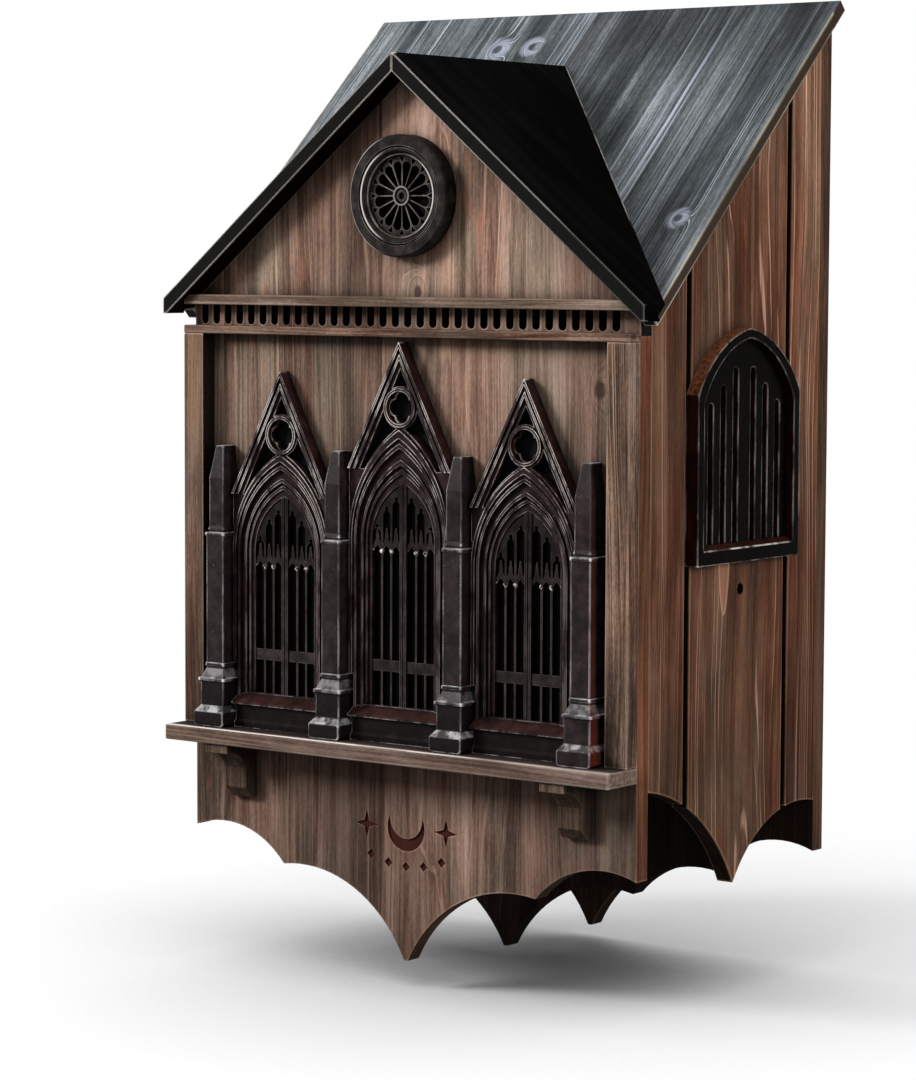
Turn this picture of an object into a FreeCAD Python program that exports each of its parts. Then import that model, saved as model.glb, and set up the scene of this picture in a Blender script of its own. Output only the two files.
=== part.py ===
import FreeCAD, Part
import math
import os

# Wall-hung wooden bat box with a gabled front, cast window trims and open roost chambers.
# Millimetres. X runs across the front, Y from the room into the wall, Z up.
# The wall is the plane Y = 0 and the origin lies midway between the two hanger holes.
# Heights named *_up are measured from the lower corners of the front board.

os.makedirs("parts", exist_ok=True)

# ---------------------------------------------------------------- driving dimensions
box_width = 300.0            # across the front board
box_depth = 185.0            # wall to the face of the front board
front_t = 10.0               # front board
back_t = 10.0                # back board
side_t = 10.0                # side boards
partition_t = 10.0           # middle partition
baffle_t = 6.0               # roosting baffles
hanger_up = 400.0            # hanger holes above the front board's lower corners

# Main roof: one slope, high at the wall
roof_pitch = 43.0            # degrees
roof_t = 7.0
roof_seat_up = 283.0         # underside of the roof at the front board's face
roof_side_overhang = 8.0
roof_toe_setback = 3.3       # lower end of the roof behind the front board's face

# Gable roof over the front
gable_pitch = 39.1           # degrees
gable_t = 8.0
gable_seat_up = 296.3        # underside of the gable at the box sides
gable_side_overhang = 11.5
gable_front_overhang = 14.5
gable_level_cut = 8.5        # height of the plumb cut at the eaves

# Rails, battens and shelf on the front board
rail_out = 10.0              # how far rails and battens stand out
lower_rail_up = 278.0
lower_rail_h = 4.5
upper_rail_up = 294.0
upper_rail_h = 5.5
batten_w = 14.0
shelf_top_up = 60.0
shelf_t = 8.5
shelf_out = 26.6

# Vent slots through the front board between the rails
vent_slot_w = 4.9
vent_pitch = 8.42
vent_left_margin = 7.0
vent_right_margin = 15.0
vent_sill = 0.6              # slot ends above the lower rail
vent_lap = 2.0               # slot ends behind the upper rail

# Bat-wing lower edge of the front board, partition and back board
wing_outer_w = 64.0          # corner to side point
wing_point_drop = 15.8
wing_tip_drop = 59.5
wing_tip_flat = 3.0
wing_outer_bulge = 10.5
wing_inner_bulge = 15.9
partition_drop = 11.0        # partition hangs this much lower than the front
partition_tip_short = 4.5    # and its tip is cut this much shorter
back_drop = 7.5

# Side boards
side_gap = 5.0               # slot between neighbouring side boards
side_front_w = 32.5
side_rear_w = 30.0
side_start_up = 45.7         # lower edge at the front board
side_tip_drop = 13.2
side_end_up = 21.4           # lower edge at the back board
side_front_bulge = 12.0
side_rear_bulge = 13.7

# Inside
partition_shift = 4.3        # partition behind the middle of the box
bat_gap = 20.0               # open space between inner boards and the roof
baffle_gap = 32.0            # clear space between partition and baffle
baffle_bottom_up = 62.0
baffle_groove_pitch = 12.0
baffle_groove_w = 2.0
baffle_groove_depth = 1.0

# Shelf brackets
bracket_w = 15.5
bracket_inset = 28.5         # box side to bracket
bracket_top_out = 25.0
bracket_lip_h = 5.0
bracket_waist_out = 8.6
bracket_cove_h = 9.5
bracket_cove_sag = 3.3
bracket_h = 31.5
bracket_toe_out = 4.0
bracket_toe_h = 5.5

# Pilasters
shaft_w = 12.2
shaft_d = 14.5
plinth_w = 21.0
plinth_d = 20.5
plinth_h = 8.0
plinth_bevel_h = 3.5
plinth_round = 2.0           # lower corners of the plinth
plinth_gap = 1.75            # plinth to batten
base_w = 16.3
base_d = 17.0
base_h = 13.5
foot_bead_h = 1.8
foot_slope_h = 5.2
foot_quirk_h = 1.3
ankle_bead_h = 1.7
moulding_out = 1.0           # foot bead beyond the base
shaft_h = 71.0
collar_bead_h = 1.8
collar_quirk_h = 1.5
neck_bead_h = 2.2
collar_out = 0.5             # ankle, collar and neck beads beyond shaft and neck
neck_w = 10.2
neck_d = 13.1
neck_h = 26.7
cap_w = 5.4
cap_d = 10.0
cap_h = 17.8

# Lancet windows
lancet_gap = 0.3             # casting to pilaster
casting_t = 6.0
footing_d = 9.0
footing_h = 14.0
footing_ledge_h = 3.0
footing_ledge_out = 1.5
sill_nose_h = 1.0
sill_d = 11.5
sill_h = 7.5
jamb_w = 13.8                # casting edge to the opening
spring_h = 98.0              # shelf to the springing of the arches
arch_rise = 31.0             # springing to the opening's point
hood_rise = 54.0             # springing to the hood mould's point
hood_in = 0.9                # casting edge to hood mould
hood_w = 2.0
hood_out = 1.4
band_w = 1.2
fillet_w = 1.2
fillet_out = 0.8
hollow_w = 2.8
hollow_d = 1.4
roll_w = 1.2
roll_d = 0.4
quirk_w = 1.1
quirk_d = 2.4
bead_w = 1.1
bead_d = 1.5
splay_d = 2.6
gablet_base_h = 129.5        # shelf to the gablet's foot
gablet_rise = 68.5
rake_edge_w = 1.3            # outer rib of the raking mould
rake_edge_out = 1.8
rake_valley_w = 1.7
rake_valley_out = 0.5
rake_rib_w = 1.2             # inner rib of the raking mould
rake_rib_out = 1.3
roundel_r = 10.4
roundel_lap = 0.9            # roundel into the raking moulds
roundel_rim = 1.6
roundel_out = 1.2
roundel_recess = 2.2
foil_r = 4.3                 # lobes of the quatrefoil
foil_offset = 4.1
foil_bead_w = 0.7            # bead around the lobes
foil_bead_out = 0.8
spandrel_t = 2.2             # bar between raking mould and spandrel openings
spandrel_rim = 1.0           # rim between spandrel openings and roundel or hood mould
pierce_least = 6.0           # square mm; smaller spandrel openings stay solid
gablet_rail_gap = 2.5        # the middle window's gablet ends below the lower rail
centre_spring_lift = 10.8
centre_hood_extra = 5.8

# Window grilles
grille_back_t = 1.0
grille_d = 3.4
mullion_w = 4.4
mullion_groove_w = 0.9
mullion_groove_d = 0.9
bar_w = 1.1
bar_setback = 0.7            # bars behind the mullion's face
transom_up = 37.8            # shelf to the transom's lower edge
transom_w = 6.0
fringe_up = 89.8             # shelf to the fringe's lower points
fringe_arch_h = 3.2
fringe_foot_h = 2.2          # height of the fringe at the bars
fringe_hip_h = 6.0           # foot of the spires
fringe_hip_w = 2.4
fringe_spire_h = 12.5
fringe_spire_w = 0.8
fringe_knob_r = 1.1
fringe_knob_up = 8.4         # above the fringe's lower points
fringe_drop_r = 1.0          # round drops at the fringe's lower points
centre_fringe_lift = 13.0
light_head_drop = 5.0        # tip of a light below the opening's arch
light_head_h = 4.2
light_eye_r = 1.2

# Rose window; the depths are measured from the front board
rose_up = 353.0
rose_r = 32.5
rose_edge = 0.8
rose_flat_w = 5.2
rose_flat_d = 9.0
rose_groove_w = 0.9
rose_groove_d = 7.2
rose_bead_w = 1.5
rose_bead_d = 8.6
rose_scotia_w = 1.6
rose_scotia_d = 5.8
rose_inner_bead_w = 0.8
rose_inner_bead_d = 6.8
rose_plate_d = 5.0
rose_back_t = 1.5
rose_petals = 16
rose_spoke_w = 0.6
rose_rim_w = 3.1             # petal heads to the inner bead
rose_head_r = 2.8
rose_throat_in = 1.2         # where a petal joins its round head, to the head's centre
rose_throat_w = 5.0
rose_shoulder_h = 1.0        # end of the straight spoke to that joint
rose_eye_tip_in = 4.3        # small three-cornered eyes between the petal heads
rose_eye_base_in = 1.0
rose_eye_w = 3.6
rose_hub_r = 5.4
rose_hub_ring_w = 1.2
rose_hub_d = 5.9
rose_dish_d = 4.2
rose_boss_r = 3.2
rose_boss_d = 5.4

# Side louvres
louvre_w = 100.0
louvre_bottom_up = 160.5
louvre_spring = 89.5         # foot to the outer springing
louvre_rise = 34.0
louvre_bulge = 7.0           # the arch stands off its chord
louvre_t = 8.0
louvre_border = 5.8
louvre_inner_spring = 85.0
louvre_inner_rise = 33.2
louvre_recess = 3.8
louvre_groove_d = 2.2
louvre_groove_w = 5.0
louvre_groove_pitch = 12.1
louvre_mullion_extra = 2.5
louvre_groove_margin = 9.0   # top of grooves below the inner arch's chord
louvre_foot_h = 7.5
louvre_sill_h = 2.8

# Cut-in motif on the apron
motif_depth = 1.0
moon_up = 13.0
moon_r = 12.5
moon_bite_r = 11.0
moon_bite_up = 5.0
star_x = 27.0
star_r = 7.5
star_waist = 2.2
pip_up = -8.0
pip_pitch = 12.0
pip_count = 5
pip_r = 2.6
pip_sag = 1.2

# Hangers, let in flush with the back
hanger_inset = 50.0          # box side to hanger hole
hanger_w = 20.0
hanger_h = 48.0
hanger_t = 1.5
keyhole_r = 5.0
keyhole_slot_w = 4.6
keyhole_slot_h = 13.0
keyhole_pocket_w = 14.0
keyhole_pocket_d = 5.5
hanger_screw_edge = 6.0

# Countersunk wood screws
screw_r = 1.5
screw_head_r = 3.0
screw_head_h = 1.5
hanger_screw_l = 8.0
side_screw_l = 28.0
side_screw_low_up = 145.0
side_screw_high_up = 225.0

# ---------------------------------------------------------------- derived places
half = box_width / 2
hanger_spacing = box_width - 2 * hanger_inset
front_y = -box_depth                     # face of the front board
front_back_y = front_y + front_t
back_face_y = -back_t
inner_half = half - side_t
foot_z = -hanger_up
shelf_z = foot_z + shelf_top_up
gablet_tip_up = shelf_top_up + gablet_base_h + gablet_rise
centre_lift = lower_rail_up - gablet_rail_gap - gablet_tip_up    # middle window's gablet
roof_tan = math.tan(math.radians(roof_pitch))
roof_sin = math.sin(math.radians(roof_pitch))
roof_cos = math.cos(math.radians(roof_pitch))
gable_tan = math.tan(math.radians(gable_pitch))
gable_drop = gable_t / math.cos(math.radians(gable_pitch))
gable_apex_z = foot_z + gable_seat_up + half * gable_tan + gable_drop
gable_half = half + gable_side_overhang
gable_front_y = front_y - gable_front_overhang
bay = (box_width - 2 * (batten_w + plinth_gap) - plinth_w) / 3
far = 2 * (box_width + box_depth + hanger_up)    # beyond every piece

chamber_mid_y = (front_back_y + back_face_y) / 2
partition_mid_y = chamber_mid_y + partition_shift
partition_y0 = partition_mid_y - partition_t / 2
partition_y1 = partition_mid_y + partition_t / 2


def height(up):
    """Z of a height measured from the front board's lower corners."""
    return foot_z + up


def roof_under(y):
    """Z of the main roof's underside at depth y."""
    return height(roof_seat_up) + (y - front_y) * roof_tan


def gable_under(x):
    """Z of the gable roof's underside at x."""
    return gable_apex_z - gable_drop - abs(x) * gable_tan


# ---------------------------------------------------------------- drawing helpers
def across(y):
    """Places (x, z) pairs in the vertical plane at depth y."""
    return lambda p: FreeCAD.Vector(p[0], y, p[1])


def along(x):
    """Places (y, z) pairs in the vertical plane at side position x."""
    return lambda p: FreeCAD.Vector(x, p[0], p[1])


def bulged(p, q, rise):
    """Arc step from p to q that stands off the chord by rise, to the left of travel."""
    length = math.hypot(q[0] - p[0], q[1] - p[1])
    mid_a = (p[0] + q[0]) / 2 - (q[1] - p[1]) / length * rise
    mid_b = (p[1] + q[1]) / 2 + (q[0] - p[0]) / length * rise
    return ((mid_a, mid_b), q)


def face(steps, place):
    """Flat face from corner points and (middle, end) arcs, closed back to the start."""
    edges = []
    here = steps[0]
    for step in steps[1:] + [steps[0]]:
        if isinstance(step[0], tuple):
            middle, end = step
            edges.append(Part.Arc(place(here), place(middle), place(end)).toShape())
        else:
            end = step
            if place(here).distanceToPoint(place(end)) > 1e-6:
                edges.append(Part.LineSegment(place(here), place(end)).toShape())
        here = end
    return Part.Face(Part.Wire(edges))


def slab_y(steps, y0, y1):
    """Solid with an (x, z) outline between two depths."""
    return face(steps, across(y0)).extrude(FreeCAD.Vector(0, y1 - y0, 0))


def slab_x(steps, x0, x1):
    """Solid with a (y, z) outline between two side positions."""
    return face(steps, along(x0)).extrude(FreeCAD.Vector(x1 - x0, 0, 0))


def block(x0, x1, y0, y1, z0, z1):
    """Rectangular solid between two corners."""
    return Part.makeBox(x1 - x0, y1 - y0, z1 - z0, FreeCAD.Vector(x0, y0, z0))


def disc(x, z, radius, y0, y1):
    """Round solid about a Y axis."""
    return Part.makeCylinder(radius, y1 - y0, FreeCAD.Vector(x, y0, z), FreeCAD.Vector(0, 1, 0))


def mirrored(shape):
    """The same shape on the other side of the box."""
    return shape.mirror(FreeCAD.Vector(0, 0, 0), FreeCAD.Vector(1, 0, 0))


def joined(shapes):
    """One solid from overlapping or touching shapes."""
    body = shapes[0]
    if len(shapes) > 1:
        body = body.multiFuse(shapes[1:])
    return body.removeSplitter()


def without(shape, tools):
    """Shape with the tools cut away, where there are any."""
    return shape.cut(tools) if tools else shape


def save(shape, name):
    """Write one node; a node that should be one solid is stored as that solid."""
    solids = shape.Solids
    piece = solids[0] if len(solids) == 1 else Part.makeCompound(solids)
    piece.exportStep("parts/" + name + ".step")
    print(name, "solids", len(solids), "volume", round(piece.Volume, 1), "valid", piece.isValid())


# Space below the main roof, and the main roof with all that it covers
below_roof = slab_x(
    [(-far, -far), (far, -far), (far, roof_under(far)), (-far, roof_under(-far))], -far, far)
toe_y = front_y + roof_toe_setback
toe_under = (toe_y, roof_under(toe_y))
toe_top = (toe_y - roof_t * roof_sin, roof_under(toe_y) + roof_t * roof_cos)
wall_under = (0.0, roof_under(0.0))
wall_top = (-roof_t * roof_sin, roof_under(0.0) + roof_t * roof_cos)
roof_reach = far / 2
covered = slab_x(
    [toe_under, (toe_y, -far), (roof_reach, -far),
     (roof_reach, toe_top[1] + (roof_reach - toe_top[0]) * roof_tan), toe_top], -far, far)
# Space below the gable roof boards
below_gable = slab_y(
    [(-far, -far), (far, -far), (far, gable_under(far)), (0.0, gable_under(0)),
     (-far, gable_under(far))], -far, far)


def wing_edge(drop, tip_short=0.0):
    """Bat-wing lower edge from the right corner to the left one, lowered by drop."""
    base = foot_z - drop
    corner = (half, base)
    point = (half - wing_outer_w, base - wing_point_drop)
    tip = (wing_tip_flat / 2, base - wing_tip_drop + tip_short)
    flip = lambda p: (-p[0], p[1])
    return [
        corner,
        bulged(corner, point, -wing_outer_bulge),
        bulged(point, tip, -wing_inner_bulge),
        flip(tip),
        bulged(flip(tip), flip(point), -wing_inner_bulge),
        bulged(flip(point), flip(corner), -wing_outer_bulge),
    ]


# ---------------------------------------------------------------- screws
def screw(tip_way, head, length):
    """Countersunk screw; head is the middle of its flat top, tip_way points to its tip."""
    cone = Part.makeCone(screw_head_r, screw_r, screw_head_h, head, tip_way)
    shank = Part.makeCylinder(screw_r, length, head, tip_way)
    return joined([cone, shank])


into_room = FreeCAD.Vector(0, -1, 0)
hanger_screws = []
for side in (-1, 1):
    for end in (-1, 1):
        screw_z = end * (hanger_h / 2 - hanger_screw_edge)
        head = FreeCAD.Vector(side * hanger_spacing / 2, 0, screw_z)
        hanger_screws.append(screw(into_room, head, hanger_screw_l))

side_screws = []
for side in (-1, 1):
    for up in (side_screw_low_up, side_screw_high_up):
        head = FreeCAD.Vector(side * half, partition_mid_y, height(up))
        side_screws.append(screw(FreeCAD.Vector(-side, 0, 0), head, side_screw_l))

save(Part.makeCompound(hanger_screws), "hanger_screws")
save(Part.makeCompound(side_screws), "side_screws")


# ---------------------------------------------------------------- front board
def vent_slots():
    """Round-ended slots in a row between the two rails."""
    low = height(lower_rail_up + lower_rail_h + vent_sill)
    high = height(upper_rail_up + vent_lap)
    radius = vent_slot_w / 2
    count = int((box_width - vent_left_margin - vent_right_margin) / vent_pitch + 1e-6) + 1
    slots = []
    for i in range(count):
        x = -half + vent_left_margin + i * vent_pitch
        steps = [
            (x - radius, low + radius),
            ((x, low), (x + radius, low + radius)),
            (x + radius, high - radius),
            ((x, high), (x - radius, high - radius)),
        ]
        slots.append(slab_y(steps, front_y - 1, front_back_y + 1))
    return slots


def motif():
    """Crescent, two four-pointed stars and a row of lozenges, cut in from the face."""
    y0, y1 = front_y - 1, front_y + motif_depth
    moon_z = height(moon_up)
    moon = disc(0, moon_z, moon_r, y0, y1)
    moon = moon.cut(disc(0, moon_z + moon_bite_up, moon_bite_r, y0 - 1, y1 + 1))
    cuts = [moon]
    for side in (-1, 1):
        points = []
        for k in range(8):
            r = star_r if k % 2 == 0 else star_waist
            a = math.radians(45 * k)
            points.append((side * star_x + r * math.cos(a), moon_z + r * math.sin(a)))
        cuts.append(slab_y(points, y0, y1))
    for i in range(pip_count):
        step = i - (pip_count - 1) / 2
        x = step * pip_pitch
        z = height(pip_up) + pip_sag * step * step
        cuts.append(slab_y([(x + pip_r, z), (x, z + pip_r), (x - pip_r, z), (x, z - pip_r)], y0, y1))
    return cuts


front_steps = wing_edge(0) + [
    (-half, gable_under(half)), (0.0, gable_under(0)), (half, gable_under(half))]
front_board = slab_y(front_steps, front_y, front_back_y)
front_board = front_board.cut(vent_slots() + motif())
save(front_board, "front_board")

# ---------------------------------------------------------------- back board and partition
top_z = roof_under(0.0)
hanger_recesses = []
for side in (-1, 1):
    x = side * hanger_spacing / 2
    hanger_recesses.append(block(x - hanger_w / 2, x + hanger_w / 2, -hanger_t, 1,
                                 -hanger_h / 2, hanger_h / 2))
    pocket_y = -hanger_t - keyhole_pocket_d
    hanger_recesses.append(block(x - keyhole_pocket_w / 2, x + keyhole_pocket_w / 2, pocket_y, 1,
                                 -keyhole_pocket_w / 2, keyhole_slot_h + keyhole_pocket_w / 2))

back_board = slab_y(wing_edge(back_drop) + [(-half, top_z), (half, top_z)], back_face_y, 0.0)
back_board = back_board.common(below_roof).cut(hanger_recesses + hanger_screws)
save(back_board, "back_board")

partition_top = roof_under(partition_y0) - bat_gap
partition_edge = wing_edge(partition_drop, partition_tip_short)
partition = slab_y(partition_edge + [(-half, partition_top), (half, partition_top)],
                   partition_y0, partition_y1)
partition = partition.common(block(-inner_half, inner_half, -far, far, -far, far))
partition = partition.cut(side_screws)
save(partition, "middle_partition")


def baffle(y0):
    """Plain inner board with claw grooves across both faces; y0 is its front face."""
    y1 = y0 + baffle_t
    z0, z1 = height(baffle_bottom_up), roof_under(y0) - bat_gap
    board = block(-inner_half, inner_half, y0, y1, z0, z1)
    grooves = []
    for i in range(1, int((z1 - z0) / baffle_groove_pitch)):
        z = z0 + i * baffle_groove_pitch
        low, high = z - baffle_groove_w / 2, z + baffle_groove_w / 2
        grooves.append(block(-far, far, y0 - 1, y0 + baffle_groove_depth, low, high))
        grooves.append(block(-far, far, y1 - baffle_groove_depth, y1 + 1, low, high))
    return without(board, grooves)


save(baffle(partition_y0 - baffle_gap - baffle_t), "front_baffle")
save(baffle(partition_y1 + baffle_gap), "rear_baffle")

# ---------------------------------------------------------------- side boards
side_start = (front_back_y, height(side_start_up))
side_tip = (chamber_mid_y, height(-side_tip_drop))
side_end = (back_face_y, height(side_end_up))
side_panel = slab_x(
    [side_start,
     bulged(side_start, side_tip, side_front_bulge),
     bulged(side_tip, side_end, side_rear_bulge),
     (back_face_y, roof_under(back_face_y)),
     (front_back_y, roof_under(front_back_y))], inner_half, half)
front_gap_y = front_back_y + side_front_w
rear_gap_y = back_face_y - side_rear_w
side_spans = {
    "front": (front_back_y, front_gap_y),
    "middle": (front_gap_y + side_gap, rear_gap_y - side_gap),
    "rear": (rear_gap_y, back_face_y),
}
for place_name, (y0, y1) in side_spans.items():
    board = side_panel.common(block(-far, far, y0, y1, -far, far))
    save(board.cut(side_screws), "right_side_" + place_name + "_board")
    save(mirrored(board).cut(side_screws), "left_side_" + place_name + "_board")

# ---------------------------------------------------------------- main roof
roof_half = half + roof_side_overhang
notch = block(-half, half, -far, front_back_y, -far, far)
roof_steps = [toe_under, wall_under, wall_top, toe_top]
main_roof_right = slab_x(roof_steps, 0.0, roof_half).cut(notch)
save(main_roof_right, "main_roof_right")
save(mirrored(main_roof_right), "main_roof_left")

# ---------------------------------------------------------------- gable roof
eave_top = gable_apex_z - gable_half * gable_tan
eave_bottom = eave_top - gable_level_cut
level_x = (gable_apex_z - gable_drop - eave_bottom) / gable_tan
gable_steps = [(0.0, gable_apex_z), (gable_half, eave_top), (gable_half, eave_bottom)]
if level_x < gable_half:
    gable_steps.append((level_x, eave_bottom))
gable_steps.append((0.0, gable_under(0)))
gable_right = slab_y(gable_steps, gable_front_y, 0.0).cut(covered)
gable_right = gable_right.common(block(-far, far, -far, -roof_t, -far, far))
save(gable_right, "gable_roof_right")
save(mirrored(gable_right), "gable_roof_left")

# ---------------------------------------------------------------- rails, battens, shelf
rail_y = front_y - rail_out
upper_rail = block(-gable_half, gable_half, rail_y, front_y,
                   height(upper_rail_up), height(upper_rail_up + upper_rail_h))
save(upper_rail.common(below_gable).common(block(-half, half, -far, far, -far, far)), "upper_rail")
save(block(-half, half, rail_y, front_y,
           height(lower_rail_up), height(lower_rail_up + lower_rail_h)), "lower_rail")
batten = block(half - batten_w, half, rail_y, front_y, shelf_z, height(lower_rail_up))
save(batten, "right_batten")
save(mirrored(batten), "left_batten")
shelf_under = shelf_z - shelf_t
save(block(-half, half, front_y - shelf_out, front_y, shelf_under, shelf_z), "shelf")


def bracket():
    """Sawn corbel under the shelf: square lip, cove, straight waist and slanted toe."""
    lip_out = front_y - bracket_top_out
    waist_out = front_y - bracket_waist_out
    lip = (lip_out, shelf_under - bracket_lip_h)
    waist = (waist_out, shelf_under - bracket_lip_h - bracket_cove_h)
    steps = [
        (front_y, shelf_under),
        (lip_out, shelf_under),
        lip,
        bulged(lip, waist, bracket_cove_sag),
        (waist_out, shelf_under - bracket_h + bracket_toe_h),
        (front_y - bracket_toe_out, shelf_under - bracket_h),
        (front_y, shelf_under - bracket_h),
    ]
    x0 = half - bracket_inset - bracket_w
    return slab_x(steps, x0, x0 + bracket_w)


save(bracket(), "right_bracket")
save(mirrored(bracket()), "left_bracket")


# ---------------------------------------------------------------- pilasters
def tier(x, z, sizes):
    """Tapering blocks stacked from z against the front board: height, then width and depth
    at the foot and at the top."""
    parts = []
    for (h, w0, d0, w1, d1) in sizes:
        rings = []
        for (level, w, d) in ((z, w0, d0), (z + h, w1, d1)):
            corners = [(x - w / 2, front_y), (x - w / 2, front_y - d),
                       (x + w / 2, front_y - d), (x + w / 2, front_y)]
            points = [FreeCAD.Vector(a, b, level) for (a, b) in corners]
            rings.append(Part.makePolygon(points + [points[0]]))
        parts.append(Part.makeLoft(rings, True, True))
        z += h
    return joined(parts)


foot_w = base_w + 2 * moulding_out
foot_d = base_d + moulding_out
ledge_w = shaft_w + 2 * collar_out
ledge_d = shaft_d + collar_out
nape_w = neck_w + 2 * collar_out
nape_d = neck_d + collar_out
moulding_h = foot_bead_h + foot_slope_h + foot_quirk_h + ankle_bead_h
collar_h = collar_bead_h + collar_quirk_h + neck_bead_h


def pilaster(x):
    """Cast pilaster: plinth, base, foot moulding, shaft, collar, neck and tapered cap."""
    reach = plinth_w / 2
    sag = plinth_round * (1 - math.sqrt(0.5))
    z0, z1 = shelf_z, shelf_z + plinth_h
    plinth = slab_y([
        (x - reach + plinth_round, z0),
        (x + reach - plinth_round, z0),
        ((x + reach - sag, z0 + sag), (x + reach, z0 + plinth_round)),
        (x + reach, z1),
        (x - reach, z1),
        (x - reach, z0 + plinth_round),
        ((x - reach + sag, z0 + sag), (x - reach + plinth_round, z0)),
    ], front_y - plinth_d, front_y)
    return joined([plinth, tier(x, z1, [
        (plinth_bevel_h, plinth_w, plinth_d, base_w, base_d),
        (base_h, base_w, base_d, base_w, base_d),
        (foot_bead_h, foot_w, foot_d, foot_w, foot_d),
        (foot_slope_h, base_w, base_d, shaft_w, shaft_d),
        (foot_quirk_h, shaft_w, shaft_d, shaft_w, shaft_d),
        (ankle_bead_h, ledge_w, ledge_d, ledge_w, ledge_d),
        (shaft_h, shaft_w, shaft_d, shaft_w, shaft_d),
        (collar_bead_h, ledge_w, ledge_d, ledge_w, ledge_d),
        (collar_quirk_h, neck_w, neck_d, neck_w, neck_d),
        (neck_bead_h, nape_w, nape_d, neck_w, neck_d),
        (neck_h, neck_w, neck_d, neck_w, neck_d),
        (cap_h, neck_w, neck_d, cap_w, cap_d),
    ])])


def pilaster_room(x):
    """Notches in the window castings that clear a pilaster's plinth, foot and collar."""
    z_plinth = shelf_z + plinth_h + plinth_bevel_h
    z_shaft = z_plinth + base_h + moulding_h
    z_collar = z_shaft + shaft_h
    room = []
    for (w, z0, z1) in ((plinth_w, shelf_z, z_plinth), (foot_w, z_plinth, z_shaft),
                        (ledge_w, z_collar, z_collar + collar_h)):
        reach = w / 2 + lancet_gap
        room.append(block(x - reach, x + reach, front_y - far, front_y, z0, z1 + lancet_gap))
    return joined(room)


pilaster_xs = [(i - 1.5) * bay for i in range(4)]
for (place_name, x) in zip(("far_left", "left", "right", "far_right"), pilaster_xs):
    save(pilaster(x), "pilaster_" + place_name)


# ---------------------------------------------------------------- lancet windows
def pointed_arch(x, half_w, z0, spring, rise, sag=None):
    """Outline of an opening with a pointed arch; its sides rise plumb unless sag is given."""
    right, top, left = (x + half_w, spring), (x, spring + rise), (x - half_w, spring)
    if sag is None:
        radius = (half_w ** 2 + rise ** 2) / (2 * half_w)
        sag = radius - math.sqrt(radius ** 2 - (half_w ** 2 + rise ** 2) / 4)
    return [(x - half_w, z0), (x + half_w, z0), right,
            bulged(right, top, -sag), bulged(top, left, -sag)]


def quatrefoil(x, z, r, y0, y1):
    """Four overlapping round lobes of radius r."""
    lobes = []
    for k in range(4):
        a = math.radians(90 * k)
        lobes.append(disc(x + foil_offset * math.cos(a), z + foil_offset * math.sin(a),
                          r, y0, y1))
    return joined(lobes)


frame_half = (bay - shaft_w) / 2 - lancet_gap
opening_half = frame_half - jamb_w
hood_half = frame_half - hood_in
gablet_slope = gablet_rise / frame_half
lancet_face_y = front_y - casting_t
lancet_sill_z = shelf_z + footing_h


def sill_at(depth):
    """Z of the sloped sill at a depth in front of the front board."""
    return lancet_sill_z + sill_h * (1 - depth / sill_d)


def arch_at(x, half_w, z0, spring, hood_extra):
    """One arch of the nested mouldings, between the opening and the hood mould."""
    share = (half_w - opening_half) / (hood_half - opening_half)
    rise = arch_rise + share * (hood_rise + hood_extra - arch_rise)
    return pointed_arch(x, half_w, z0, spring, rise)


def gablet(x, inset, z0, y0, y1):
    """Triangle of the gablet, its raking sides moved in by inset."""
    apex = z0 + gablet_rise - inset * math.hypot(1, gablet_slope)
    reach = (apex - z0) / gablet_slope
    return slab_y([(x - reach, z0), (x + reach, z0), (x, apex)], y0, y1)


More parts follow.
